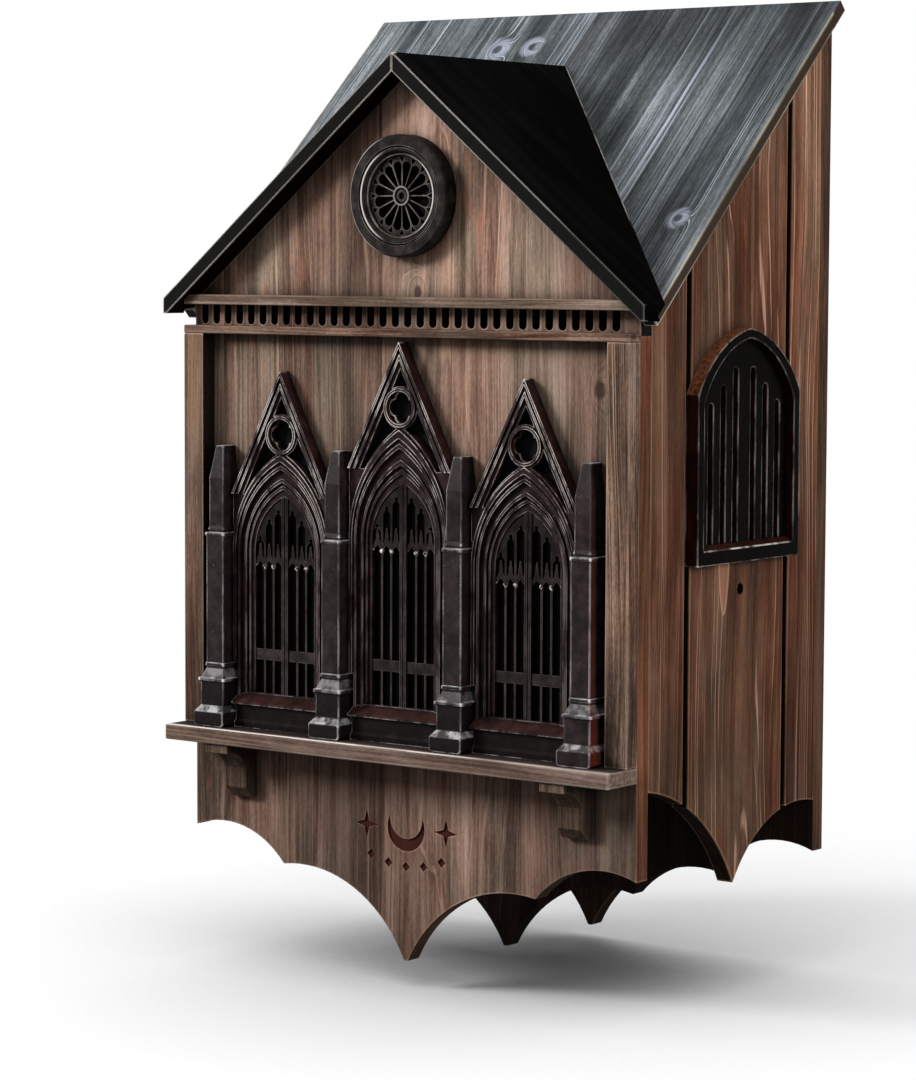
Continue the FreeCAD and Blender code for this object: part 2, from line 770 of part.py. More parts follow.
def lancet_frame(x, lift, spring_lift, hood_extra):
    """Cast window surround with gablet, roundel and stepped arches."""
    face_y = lancet_face_y
    spring = shelf_z + spring_h + spring_lift
    gablet_z = shelf_z + gablet_base_h + lift
    rake_inset = rake_edge_w + rake_valley_w + rake_rib_w + spandrel_t
    roundel_drop = (rake_inset + roundel_r - roundel_lap) * math.hypot(1, gablet_slope)
    roundel_z = gablet_z + gablet_rise - roundel_drop
    outline = [(x - frame_half, shelf_z), (x + frame_half, shelf_z),
               (x + frame_half, gablet_z), (x, gablet_z + gablet_rise), (x - frame_half, gablet_z)]
    parts = [slab_y(outline, face_y, front_y)]

    # Raking mould: outer rib, valley and inner rib, raised from the face
    inset = 0.0
    for (w, out) in ((rake_edge_w, rake_edge_out), (rake_valley_w, rake_valley_out),
                     (rake_rib_w, rake_rib_out)):
        band = gablet(x, inset, gablet_z, face_y - out, face_y)
        inset += w
        parts.append(band.cut(gablet(x, inset, gablet_z, face_y - out, face_y)))

    # Hood mould and fillet around the arch, raised from the face
    hood_steps = ((0.0, hood_w, hood_out), (hood_w + band_w, fillet_w, fillet_out))
    for (start, w, out) in hood_steps:
        outer = arch_at(x, hood_half - start, lancet_sill_z, spring, hood_extra)
        inner = arch_at(x, hood_half - start - w, lancet_sill_z, spring, hood_extra)
        band = slab_y(outer, face_y - out, face_y)
        parts.append(band.cut(slab_y(inner, face_y - out, face_y)))
    parts.append(disc(x, roundel_z, roundel_r, face_y - roundel_out, face_y))

    # Footing with its foot ledge and sloped sill
    ledge_y = front_y - footing_d - footing_ledge_out
    parts.append(slab_x(
        [(front_y, shelf_z), (ledge_y, shelf_z), (ledge_y, shelf_z + footing_ledge_h),
         (front_y - footing_d, shelf_z + footing_ledge_h + footing_ledge_out),
         (front_y - footing_d, lancet_sill_z - sill_nose_h),
         (front_y - sill_d, lancet_sill_z - sill_nose_h),
         (front_y - sill_d, lancet_sill_z), (front_y, lancet_sill_z + sill_h)],
        x - frame_half, x + frame_half))
    body = joined(parts)

    # Nested recesses inside the hood mould, each cut back to its own depth
    cuts = []
    reach = hood_half - hood_w - band_w - fillet_w
    for (w, depth) in ((hollow_w, hollow_d), (roll_w, roll_d), (quirk_w, quirk_d),
                       (bead_w, bead_d), (0.0, splay_d)):
        back = face_y + depth
        ring = slab_y(arch_at(x, reach, sill_at(casting_t - depth), spring, hood_extra),
                      face_y - hood_out, back)
        if w > 0:
            inner = arch_at(x, reach - w, lancet_sill_z, spring, hood_extra)
            ring = ring.cut(slab_y(inner, face_y - hood_out, back))
        cuts.append(ring)
        reach -= w
    cuts.append(slab_y(arch_at(x, opening_half, sill_at(grille_d), spring, hood_extra),
                       face_y - hood_out, front_y))

    # Roundel: dished plate with a beaded quatrefoil opening
    plate_y = face_y + roundel_recess
    dish = disc(x, roundel_z, roundel_r - roundel_rim, face_y - roundel_out, plate_y)
    bead = quatrefoil(x, roundel_z, foil_r + foil_bead_w, plate_y - foil_bead_out, plate_y)
    cuts.append(dish.cut(bead))
    cuts.append(quatrefoil(x, roundel_z, foil_r, face_y, front_y))

    # Pierced spandrels between raking mould, roundel and hood mould
    pierce = gablet(x, rake_inset, gablet_z, face_y, front_y)
    keep_roundel = disc(x, roundel_z, roundel_r + spandrel_rim, face_y, front_y)
    keep_arch = slab_y(arch_at(x, hood_half + spandrel_rim, shelf_z, spring, hood_extra),
                       face_y, front_y)
    for opening in pierce.cut([keep_roundel, keep_arch]).Solids:
        if opening.Volume > casting_t * pierce_least:
            cuts.append(opening)
    return body.cut(cuts + [pilaster_room(x) for x in pilaster_xs])


arch_radius = (opening_half ** 2 + arch_rise ** 2) / (2 * opening_half)


def arch_over(offset):
    """Height of the opening's arch above its springing, offset from the middle."""
    return math.sqrt(arch_radius ** 2 - (abs(offset) + arch_radius - opening_half) ** 2)


def light_opening(x0, x1, z0, top, y0, y1):
    """One light between two bars: plumb sides and a pointed head that ends in a round eye."""
    mid = (x0 + x1) / 2
    shoulder = top - light_head_h
    body = slab_y([(x0, z0), (x1, z0), (x1, shoulder), (mid, top - light_eye_r),
                   (x0, shoulder)], y0, y1)
    return body.fuse(disc(mid, top - light_eye_r, light_eye_r, y0, y1))


def fringe(x0, x1, z, y0, y1):
    """Small arch across one light with a slender knobbed spire."""
    mid = (x0 + x1) / 2
    hip, tip = fringe_hip_w / 2, fringe_spire_w / 2
    body = slab_y([
        (x0, z), (mid, z + fringe_arch_h), (x1, z), (x1, z + fringe_foot_h),
        (mid + hip, z + fringe_hip_h), (mid + tip, z + fringe_spire_h),
        (mid - tip, z + fringe_spire_h), (mid - hip, z + fringe_hip_h), (x0, z + fringe_foot_h),
    ], y0, y1)
    return body.fuse(disc(mid, z + fringe_knob_up, fringe_knob_r, y0, y1))


def lancet_grille(x, spring_lift, fringe_lift):
    """Cast grille in the opening: backing, mullion, three lights a side, transom, fringe."""
    spring = shelf_z + spring_h + spring_lift
    z0, top = lancet_sill_z, spring + arch_rise
    y_face = front_y - grille_d
    y_bar = y_face + bar_setback
    y_back = front_y - grille_back_t
    transom_z = shelf_z + transom_up
    fringe_z = shelf_z + fringe_up + fringe_lift
    light = (opening_half - mullion_w / 2) / 3
    plate = block(x - opening_half, x + opening_half, y_bar, front_y, z0, top)
    parts = [
        block(x - mullion_w / 2, x + mullion_w / 2, y_face, front_y, z0, top),
        block(x - opening_half, x + opening_half, y_bar, front_y, transom_z, transom_z + transom_w),
    ]
    for side in (-1, 1):
        for k in range(3):
            near = mullion_w / 2 + k * light
            far_edge = near + light
            inner = near + (bar_w / 2 if k > 0 else 0.0)
            outer = far_edge - (bar_w / 2 if k < 2 else 0.0)
            head = spring + arch_over((inner + outer) / 2) - light_head_drop
            x0, x1 = sorted((x + side * inner, x + side * outer))
            plate = plate.cut(light_opening(x0, x1, z0, head, y_bar, y_back))
            x0, x1 = sorted((x + side * near, x + side * far_edge))
            parts.append(fringe(x0, x1, fringe_z, y_bar, front_y))
            if k > 0:
                parts.append(disc(x + side * near, fringe_z, fringe_drop_r, y_face, front_y))
    groove = block(x - mullion_groove_w / 2, x + mullion_groove_w / 2, y_face,
                   y_face + mullion_groove_d, z0, top)
    window = slab_y(pointed_arch(x, opening_half, sill_at(grille_d), spring, arch_rise),
                    y_face, front_y)
    return joined([plate] + parts).common(window).cut(groove)


lancets = [
    ("left", -bay, 0.0, 0.0, 0.0, 0.0),
    ("centre", 0.0, centre_lift, centre_spring_lift, centre_hood_extra, centre_fringe_lift),
    ("right", bay, 0.0, 0.0, 0.0, 0.0),
]
for (lancet_name, x, lift, spring_lift, hood_extra, fringe_lift) in lancets:
    save(lancet_frame(x, lift, spring_lift, hood_extra), lancet_name + "_lancet_frame")
    save(lancet_grille(x, spring_lift, fringe_lift), lancet_name + "_lancet_grille")


# ---------------------------------------------------------------- rose window
def rose_window():
    """Cast ring with petals about a hub and small eyes between the petals' heads."""
    z = height(rose_up)
    flat_r = rose_r - rose_edge - rose_flat_w
    bead_r = flat_r - rose_groove_w
    scotia_r = bead_r - rose_bead_w
    inner_bead_r = scotia_r - rose_scotia_w
    plate_r = inner_bead_r - rose_inner_bead_w
    profile = [
        (0.0, 0.0), (rose_r, 0.0), (rose_r, rose_flat_d - rose_edge),
        (rose_r - rose_edge, rose_flat_d), (flat_r, rose_flat_d), (flat_r, rose_groove_d),
        (bead_r, rose_groove_d), (bead_r, rose_bead_d), (scotia_r, rose_bead_d),
        (inner_bead_r, rose_scotia_d), (inner_bead_r, rose_inner_bead_d),
        (plate_r, rose_inner_bead_d), (plate_r, rose_plate_d), (0.0, rose_plate_d),
    ]
    points = [FreeCAD.Vector(r, front_y - d, z) for (r, d) in profile]
    centre = FreeCAD.Vector(0, 0, z)
    section = Part.Face(Part.makePolygon(points + [points[0]]))
    body = section.revolve(centre, FreeCAD.Vector(0, 1, 0), 360)

    # One petal: it widens between two spokes and ends in a round head
    half_angle = math.pi / rose_petals
    head_at = plate_r - rose_rim_w - rose_head_r
    throat_at = head_at - rose_throat_in
    shoulder_at = throat_at - rose_shoulder_h
    shoulder = shoulder_at * math.tan(half_angle) - rose_spoke_w / 2 / math.cos(half_angle)
    root_at = rose_spoke_w / 2 / math.sin(half_angle)
    throat = rose_throat_w / 2
    y0, y1 = front_y - rose_plate_d, front_y - rose_back_t
    petal = slab_y([(root_at, z), (shoulder_at, z + shoulder), (throat_at, z + throat),
                    (head_at, z), (throat_at, z - throat), (shoulder_at, z - shoulder)], y0, y1)
    petal = petal.fuse(disc(head_at, z, rose_head_r, y0, y1))
    eye_base = plate_r - rose_eye_base_in
    eye = slab_y([(plate_r - rose_eye_tip_in, z), (eye_base, z + rose_eye_w / 2),
                  (eye_base, z - rose_eye_w / 2)], y0, y1)
    openings = []
    for k in range(rose_petals):
        for (shape, turn) in ((petal, k + 0.5), (eye, k)):
            turned = shape.copy()
            turned.rotate(centre, FreeCAD.Vector(0, 1, 0), turn * 360.0 / rose_petals)
            openings.append(turned)
    body = body.cut(openings)

    # Hub: two raised rings with a dished middle
    for (r, d) in ((rose_hub_r, rose_hub_d), (rose_boss_r, rose_boss_d)):
        body = body.fuse(disc(0, z, r, front_y - d, front_y))
        body = body.cut(disc(0, z, r - rose_hub_ring_w, front_y - d, front_y - rose_dish_d))
    return body.removeSplitter()


save(rose_window(), "rose_window")


# ---------------------------------------------------------------- side louvres
def louvre():
    """Cast blind louvre on the right side: raised border, grooved field and sloped sill."""
    y = chamber_mid_y
    foot = height(louvre_bottom_up)
    face_x = half + louvre_t
    field_x = face_x - louvre_recess
    outer = pointed_arch(y, louvre_w / 2, foot, foot + louvre_spring, louvre_rise, louvre_bulge)
    body = slab_x(outer, half, face_x)

    # Recessed field and the sloped sill at its foot
    inner_half_w = louvre_w / 2 - louvre_border
    inner_spring = foot + louvre_inner_spring
    sill_low = foot + louvre_foot_h
    sill_high = sill_low + louvre_sill_h
    inner = pointed_arch(y, inner_half_w, sill_low, inner_spring, louvre_inner_rise, louvre_bulge)
    body = body.cut(slab_x(inner, field_x, face_x))
    corners = [FreeCAD.Vector(face_x, y - inner_half_w, sill_low),
               FreeCAD.Vector(field_x, y - inner_half_w, sill_high),
               FreeCAD.Vector(field_x, y - inner_half_w, sill_low)]
    sill = Part.Face(Part.makePolygon(corners + [corners[0]]))
    body = joined([body, sill.extrude(FreeCAD.Vector(0, 2 * inner_half_w, 0))])

    # Round-headed grooves, three on each side of the wide middle bar
    grooves = []
    radius = louvre_groove_w / 2
    slope = louvre_inner_rise / inner_half_w
    for side in (-1, 1):
        for k in range(3):
            offset = louvre_groove_pitch * (k + 0.5) + louvre_mullion_extra
            top = inner_spring + louvre_inner_rise - offset * slope - louvre_groove_margin
            g = y + side * offset
            steps = [(g - radius, sill_high), (g + radius, sill_high),
                     (g + radius, top - radius), ((g, top), (g - radius, top - radius))]
            grooves.append(slab_x(steps, field_x - louvre_groove_d, field_x))
    return body.cut(grooves)


save(louvre(), "right_louvre")
save(mirrored(louvre()), "left_louvre")


# ---------------------------------------------------------------- hangers
def hanger(x):
    """Steel keyhole plate, flush with the back, held by two countersunk screws."""
    plate = block(x - hanger_w / 2, x + hanger_w / 2, -hanger_t, 0, -hanger_h / 2, hanger_h / 2)
    slot_r = keyhole_slot_w / 2
    top = keyhole_slot_h
    slot = slab_y([(x - slot_r, 0.0), (x + slot_r, 0.0), (x + slot_r, top - slot_r),
                   ((x, top), (x - slot_r, top - slot_r))], -hanger_t - 1, 1)
    return plate.cut([disc(x, 0, keyhole_r, -hanger_t - 1, 1), slot] + hanger_screws)


save(hanger(-hanger_spacing / 2), "left_hanger")
save(hanger(hanger_spacing / 2), "right_hanger")
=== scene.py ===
import math

import bpy
from mathutils import Euler, Matrix, Vector

# Wall-hung bat box: a stained fir case with a black gabled roof and black cast window trims.
# Metres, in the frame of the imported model: X across the front, Y into the wall, Z up.
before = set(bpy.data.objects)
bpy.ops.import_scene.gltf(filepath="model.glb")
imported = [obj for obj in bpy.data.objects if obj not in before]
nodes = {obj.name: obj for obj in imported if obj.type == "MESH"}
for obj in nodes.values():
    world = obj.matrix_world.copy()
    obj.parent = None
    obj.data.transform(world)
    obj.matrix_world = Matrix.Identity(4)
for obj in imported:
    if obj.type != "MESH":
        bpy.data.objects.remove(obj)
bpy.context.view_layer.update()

# ---------------------------------------------------------------- camera
# About two metres away, right of the front and a little above the middle, so that the
# front and the right-hand side both show, through a long lens.
turn, tip, tilt = 0.644773, -0.0830962, 0.00388308
ahead = Vector((-math.sin(turn) * math.cos(tip), math.cos(turn) * math.cos(tip), math.sin(tip)))
level = Vector((math.cos(turn), math.sin(turn), 0))
upright = level.cross(ahead)
right = level * math.cos(tilt) + upright * math.sin(tilt)
up = upright * math.cos(tilt) - level * math.sin(tilt)
lens = bpy.data.cameras.new("camera")
lens.sensor_fit = "AUTO"
lens.sensor_width = 36
lens.lens = 113.61
camera = bpy.data.objects.new("camera", lens)
axes = Matrix((right, up, -ahead)).transposed().to_4x4()
stand = (1.11715, -1.62488, -0.0788)
camera.matrix_world = Matrix.Translation(stand) @ axes
bpy.context.scene.collection.objects.link(camera)
bpy.context.scene.camera = camera

# ---------------------------------------------------------------- floor
# A white floor just under the hanging box. Its glow carries a painted shadow, darkest below
# the box where the box hides most of the room, and it fades out into the white room further
# away. It has no underside, so the box can be looked at from below.
floor_z = -0.475
floor_r = 1.2


def linear(colour):
    """The linear RGBA of an sRGB hex colour."""
    parts = [int(colour[k:k + 2], 16) / 255 for k in (1, 3, 5)]
    return [c / 12.92 if c <= 0.04045 else ((c + 0.055) / 1.055) ** 2.4 for c in parts] + [1]


def add(tree, kind, inputs=(), out=0, stops=(), **settings):
    """Adds a shader node with its settings and links, and returns one of its outputs. Colours
    are sRGB hex. stops are a colour ramp's (place, colour) pairs, where a number is a grey."""
    made = tree.nodes.new("ShaderNode" + kind)
    for name, value in settings.items():
        setattr(made, name, value)
    for socket, value in dict(inputs).items():
        if isinstance(value, bpy.types.NodeSocket):
            tree.links.new(value, made.inputs[socket])
        else:
            made.inputs[socket].default_value = linear(value) if isinstance(value, str) else value
    stops = list(stops)
    for k, (at, value) in enumerate(stops):
        steps = made.color_ramp.elements
        step = steps.new(at) if 0 < k < len(stops) - 1 else steps[-1 if k else 0]
        step.position = at
        step.color = linear(value) if isinstance(value, str) else [value] * 3 + [1]
    return made.outputs[out] if made.outputs else None


def blank(name):
    """A new material with an empty node tree."""
    made = bpy.data.materials.new(name)
    made.use_nodes = True
    made.node_tree.nodes.clear()
    return made, made.node_tree


sides = 96
rim = [(math.cos(math.tau * k / sides) * floor_r, math.sin(math.tau * k / sides) * floor_r, 0)
       for k in range(sides)]
disc = bpy.data.meshes.new("floor")
disc.from_pydata(rim, [], [range(sides)])
floor = bpy.data.objects.new("floor", disc)
floor.location = (0.02, -0.1, floor_z)
bpy.context.scene.collection.objects.link(floor)
white_floor, tree = blank("white painted floor")
seen = add(tree, "LightPath", out="Is Camera Ray")
# The glow is dimmed where the box hides the room: a painted shadow
open_sky = add(tree, "AmbientOcclusion", {"Distance": 0.6}, out="AO", samples=16)
open_sky = add(tree, "MapRange", {0: open_sky, 1: 0.25, 2: 0.95, 4: 0.78})
glow = add(tree, "Emission", {"Color": "#ffffff", "Strength": open_sky})
matt = add(tree, "BsdfDiffuse", {"Color": "#8e8e90"})
lit = add(tree, "AddShader", {0: glow, 1: matt})
shown = add(tree, "MixShader", {0: seen, 1: matt, 2: lit})
from_middle = add(tree, "TexCoord", out="Object")
from_middle = add(tree, "VectorMath", {0: from_middle}, out=1, operation="LENGTH")
fade = add(tree, "MapRange", {0: from_middle, 1: 0.25, 2: 0.75}, interpolation_type="SMOOTHSTEP")
underside = add(tree, "NewGeometry", out="Backfacing")
fade = add(tree, "Math", {0: fade, 1: underside}, operation="MAXIMUM")
clear = add(tree, "BsdfTransparent")
faded = add(tree, "MixShader", {0: fade, 1: shown, 2: clear})
add(tree, "OutputMaterial", {0: faded})
floor.data.materials.append(white_floor)

# ---------------------------------------------------------------- room and lamps
# A white room gives a little soft light from everywhere. A lamp in front on the left throws
# short hard shadows that make the relief read, one straight from the right lights the side
# boards and one stands above the roof.
room = bpy.data.worlds.new("white room")
room.use_nodes = True
tree = room.node_tree
tree.nodes.clear()
rays = add(tree, "LightPath").node.outputs
either = rays["Is Camera Ray"]
for other in ("Is Glossy Ray", "Is Transmission Ray"):
    either = add(tree, "Math", {0: either, 1: rays[other]}, operation="MAXIMUM")
room_light = 0.2
strength = add(tree, "MapRange", {0: either, 3: room_light, 4: 1.0})
sky = add(tree, "Background", {0: "#ffffff", 1: strength})
add(tree, "OutputWorld", {0: sky})
bpy.context.scene.world = room
bpy.context.scene.view_settings.view_transform = "Standard"

middle = Vector((0, -0.1, -0.2))
for name, direction, distance, size, level_at_box in (
        ("front lamp", (-0.66, -0.62, 0.42), 2.6, 0.8, 1.2),
        ("side lamp", (0.96, -0.12, 0.20), 2.6, 1.2, 0.62),
        ("roof lamp", (0.10, -0.55, 0.85), 2.4, 1.4, 0.4)):
    lamp = bpy.data.lights.new(name, "AREA")
    lamp.shape = "DISK"
    lamp.size = size
    lamp.energy = level_at_box * math.pi ** 2 * distance ** 2
    aim = Vector(direction).normalized()
    holder = bpy.data.objects.new(name, lamp)
    holder.location = middle + aim * distance
    holder.rotation_euler = aim.to_track_quat("Z", "Y").to_euler()
    bpy.context.scene.collection.objects.link(holder)


# ---------------------------------------------------------------- back board and roost boards
# Fir planks sawn across the log's rings, stained brown and brushed, so that hard ring lines
# stand out pale. The roost boards inside are the same wood, given very dark tones as painted
# shade because they see little light.
def finish_with(name, material, width=0.5):
    """Gives a piece its finish, and rounds its sharp edges by width millimetres where sanding
    or casting has left them soft."""
    piece = nodes[name]
    if width:
        for kind, settings in (
                ("WELD", {"merge_threshold": 1e-6}),
                ("DECIMATE", {"decimate_type": "DISSOLVE", "angle_limit": math.radians(0.5)}),
                ("BEVEL", {"width": width / 1000, "segments": 2, "angle_limit": math.radians(30),
                           "use_clamp_overlap": False}),
                ("WEIGHTED_NORMAL", {"keep_sharp": True})):
            step = piece.modifiers.new(kind.lower(), kind)
            for setting, value in settings.items():
                setattr(step, setting, value)
    piece.data.materials.clear()
    piece.data.materials.append(material)


def stained_fir(name, tones, second, heart, turn=(0, 0, 0), along=0.0, knots=(), ring=5.0,
                edge="#9a7862", worn=0.7, pale="#a88a76", lines=0.3, rough=0.8, spread=1.0,
                fine=1.0, under=0.9, heights=(), gloss=0.08, wander=16, halo=None, stave=0,
                corner_shade=0.45, sawn=None, rubbed_to=None, knot_long=1.5, reach=0.0013, flush=None):
    """Stained and brushed fir.

    tones and second are five colours each, dark to pale, for the two shades that the stain
    takes in patches, and spread is how far they are used. heart is the log's middle in mm
    across the board, along its place on the log and ring the width of a year, in mm too.
    turn brings the grain to local Z. knots are (x, y, z, radius) in mm, knot_long times as
    long as wide, in wood of the halo colour. lines is how strongly the hard lines of the
    rings stand out, in the colour pale, and fine the same for threads and fibres. corner_shade
    and under are how dark the painted shade in corners and on undersides is. heights are
    pairs of (z in mm, brightness) for painted light and shade along the height, partly stain,
    wander is how far in mm the rings stray, and stave the width in mm of the strips that a
    wide board is glued from. sawn is (axis, share, colour) for faces turned along an axis.
    worn is how much of the edges is rubbed to the edge colour, within reach and only in
    front of rubbed_to, a Y, both in metres.
    flush is the colour and share of rare resin-rich streaks."""
    made, tree = blank(name)
    place = add(tree, "TexCoord", out="Object")
    grain = add(tree, "Mapping", {"Vector": place, "Rotation": turn, "Scale": (1000, 1000, 1000)})

    # Each glued strip comes from another log
    log, strip, joint = grain, None, None
    if stave:
        strips = add(tree, "SeparateXYZ", {0: grain})
        strips = add(tree, "Math", {0: strips, 1: 1 / stave, 2: 0.37}, operation="MULTIPLY_ADD")
        number = add(tree, "Math", {0: strips}, operation="FLOOR")
        strip = add(tree, "TexWhiteNoise", {"W": number}, noise_dimensions="1D").node
        log = add(tree, "VectorMath", {0: strip.outputs["Color"], 1: (30, 60, 500), 2: grain},
                  operation="MULTIPLY_ADD")
        # A dark line marks each joint, full to 0.1 mm and gone at 0.6 mm from its middle
        gone, full = 0.5 - 0.6 / stave, 0.5 - 0.1 / stave
        joint = add(tree, "Math", {0: strips}, operation="FRACT")
        joint = add(tree, "Math", {0: joint, 1: 0.5}, operation="SUBTRACT")
        joint = add(tree, "Math", {0: joint}, operation="ABSOLUTE")
        joint = add(tree, "MapRange", {0: joint, 1: gone, 2: full, 4: 0.55})

    # The rings wander along the log
    wavy = log
    for shift, wide, long, sway in (((0, 0, along), 60, 260, wander), ((along, 0, 0), 9, 55, 1.2)):
        bend = add(tree, "Mapping", {"Vector": log, "Location": shift,
                                     "Scale": (1 / wide, 1 / wide, 1 / long)})
        bend = add(tree, "TexNoise", {"Vector": bend, "Scale": 1, "Detail": 1}, out="Color")
        wavy = add(tree, "VectorMath", {0: bend, 1: (sway, sway, 0), 2: wavy},
                   operation="MULTIPLY_ADD")
    flat = add(tree, "VectorMath", {0: wavy, 1: (1, 1, 0),
                                    2: (-heart[0] - wander / 2, -heart[1] - wander / 2, 0)},
               operation="MULTIPLY_ADD")
    radius = add(tree, "VectorMath", {0: flat}, out=1, operation="LENGTH")

    # Knots push the rings aside and are dark themselves
    dark = around = None
    for x, y, z, r in knots:
        x, y, z = Euler(turn).to_matrix() @ Vector((x, y, z))
        off = add(tree, "VectorMath", {0: grain, 1: (-x, -y, -z)}, operation="ADD")
        off = add(tree, "VectorMath", {0: off, 1: (1 / r, 0.3 / r, 1 / knot_long / r)},
                  operation="MULTIPLY")
        square = add(tree, "VectorMath", {0: off, 1: off}, out=1, operation="DOT_PRODUCT")
        swell = add(tree, "Math", {0: square, 1: -0.22}, operation="MULTIPLY")
        swell = add(tree, "Math", {0: math.e, 1: swell}, operation="POWER")
        radius = add(tree, "Math", {0: swell, 1: r * 4, 2: radius}, operation="MULTIPLY_ADD")
        spot = add(tree, "MapRange", {0: square, 1: 1.2, 2: 0.3, 4: 0.85},
                   interpolation_type="SMOOTHSTEP")
        ring_of = add(tree, "MapRange", {0: square, 1: 9, 2: 2.5, 4: 0.85},
                      interpolation_type="SMOOTHSTEP")
        dark = spot if dark is None else add(tree, "Math", {0: dark, 1: spot}, operation="MAXIMUM")
        around = ring_of if around is None else add(tree, "Math", {0: around, 1: ring_of},
                                                    operation="MAXIMUM")

    # Year rings of uneven width: soft wood, darker late wood, and a thin hard line
    uneven = add(tree, "Math", {0: radius, 1: 0.13}, operation="MULTIPLY")
    uneven = add(tree, "TexNoise", {"W": uneven, "Scale": 1, "Detail": 2}, noise_dimensions="1D")
    years = add(tree, "Math", {0: radius, 1: ring}, operation="DIVIDE")
    years = add(tree, "Math", {0: uneven, 1: 6.0, 2: years}, operation="MULTIPLY_ADD")
    year = add(tree, "Math", {0: years}, operation="FRACT")
    profile, hard = (add(tree, "ValToRGB", {0: year}, stops=steps) for steps in (
        ((0, 0.62), (0.45, 0.58), (0.78, 0.36), (0.9, 0.2), (1, 0.6)),
        ((0.81, 0), (0.88, 1), (0.94, 1), (0.995, 0))))

    # Streaks, brushed threads, fine fibres and soft patches of the stain
    patterns = []
    for source, shift, wide, long, detail, harsh in (
            (wavy, (0, along, 0), 10, 420, 4, 0.55), (wavy, (along, 0, 0), 1.5, 240, 3, 0.6),
            (grain, (0, 0, 0), 0.8, 3, 2, 0.7), (wavy, (along, along, 0), 30, 110, 4, 0.6),
            (wavy, (0, along, along), 36, 150, 4, 0.5)):
        pattern = add(tree, "Mapping", {"Vector": source, "Location": shift,
                                        "Scale": (1 / wide, 1 / wide, 1 / long)})
        patterns.append(add(tree, "TexNoise", {"Vector": pattern, "Scale": 1, "Detail": detail,
                                               "Roughness": harsh}))
    streak, thread, fibre, patch, hue = patterns
    value = add(tree, "Math", {0: streak, 1: 0.6 * spread, 2: 0.5 - 0.3 * spread},
                operation="MULTIPLY_ADD")
    parts = [(profile, 0.35), (thread, 0.7 * fine), (fibre, 0.35 * fine), (patch, 0.95)]
    if strip:
        parts.append((strip.outputs["Value"], 0.2))
    for source, share in parts:
        value = add(tree, "Math", {0: value, 1: -share * spread / 2}, operation="ADD")
        value = add(tree, "Math", {0: source, 1: share * spread, 2: value},
                    operation="MULTIPLY_ADD")
    shades = [add(tree, "ValToRGB", {0: value},
                  stops=zip((0.2, 0.36, 0.5, 0.64, 0.8), colours))
              for colours in (tones, second)]
    if strip:
        other = add(tree, "SeparateColor", {0: strip.outputs["Color"]}, out=1)
        hue = add(tree, "Math", {0: hue, 1: -0.08}, operation="ADD")
        hue = add(tree, "Math", {0: other, 1: 0.16, 2: hue}, operation="MULTIPLY_ADD")
    hue = add(tree, "MapRange", {0: hue, 1: 0.4, 2: 0.62}, interpolation_type="SMOOTHSTEP")
    colour = add(tree, "Mix", {0: hue, 6: shades[0], 7: shades[1]}, out=2, data_type="RGBA")

    if flush:
        resin = add(tree, "Mapping", {"Vector": wavy, "Location": (along, 0, along),
                                      "Scale": (1 / 9, 1 / 9, 1 / 38)})
        resin = add(tree, "TexNoise", {"Vector": resin, "Scale": 1, "Detail": 3, "Roughness": 0.6})
        resin = add(tree, "MapRange", {0: resin, 1: 0.58, 2: 0.72, 4: flush[1]},
                    interpolation_type="SMOOTHSTEP")
        colour = add(tree, "Mix", {0: resin, 6: colour, 7: flush[0]}, out=2, data_type="RGBA")

    # Hard lines of the rings, rubbed pale by the brush in places
    showing = add(tree, "MapRange", {0: streak, 1: 0.46, 2: 0.58, 3: 0.05, 4: lines * 2})
    showing = add(tree, "Math", {0: hard, 1: showing}, operation="MULTIPLY", use_clamp=True)
    colour = add(tree, "Mix", {0: showing, 6: colour, 7: pale}, out=2, data_type="RGBA")
    if joint:
        colour = add(tree, "Mix", {0: joint, 6: colour, 7: tones[0]}, out=2, data_type="RGBA")
    if halo:
        thinned = add(tree, "MapRange", {0: year, 1: 0.3, 2: 0.8, 3: 1, 4: 0.35})
        around = add(tree, "Math", {0: around, 1: thinned}, operation="MULTIPLY")
        colour = add(tree, "Mix", {0: around, 6: colour, 7: halo}, out=2, data_type="RGBA")
    if knots:
        colour = add(tree, "Mix", {0: dark, 6: colour, 7: tones[0]}, out=2, data_type="RGBA")

    # Painted light and shade by height, partly stain, and painted shade in the corners
    if heights:
        low, high = heights[0][0], heights[-1][0]
        rise = add(tree, "SeparateXYZ", {0: place}, out=2)
        rise = add(tree, "MapRange", {0: rise, 1: low / 1000, 2: high / 1000})
        light_and_stain_by_height = add(tree, "ValToRGB", {0: rise}, stops=[
            ((z - low) / (high - low), bright) for z, bright in heights])
        colour = add(tree, "Mix", {0: 1.0, 6: colour, 7: light_and_stain_by_height}, out=2, data_type="RGBA",
                     blend_type="MULTIPLY")
    # Painted shade in corners and beside raised parts
    for span, least, most, share in ((0.014, 0.2, 0.8, 0.9), (0.04, 0.4, 1.0, corner_shade)):
        corner = add(tree, "AmbientOcclusion", {"Distance": span}, out="AO", samples=8)
        corner = add(tree, "MapRange", {0: corner, 1: least, 2: most, 3: share, 4: 0})
        colour = add(tree, "Mix", {0: corner, 6: colour, 7: "#0a0604"}, out=2, data_type="RGBA")

    # Edges rubbed pale
    near_edge = add(tree, "AmbientOcclusion", {"Distance": reach}, out="AO", inside=True,
                    only_local=True, samples=8)
    rubbed = add(tree, "MapRange", {0: near_edge, 1: 0.9, 2: 0.6, 4: worn},
                 interpolation_type="SMOOTHSTEP")
    patchy = add(tree, "MapRange", {0: patch, 1: 0.36, 2: 0.56, 3: 0.25})
    rubbed = add(tree, "Math", {0: rubbed, 1: patchy}, operation="MULTIPLY")
    if rubbed_to:
        in_front = add(tree, "SeparateXYZ", {0: place}, out=1)
        in_front = add(tree, "Math", {0: in_front, 1: rubbed_to}, operation="LESS_THAN")
        rubbed = add(tree, "Math", {0: rubbed, 1: in_front}, operation="MULTIPLY")
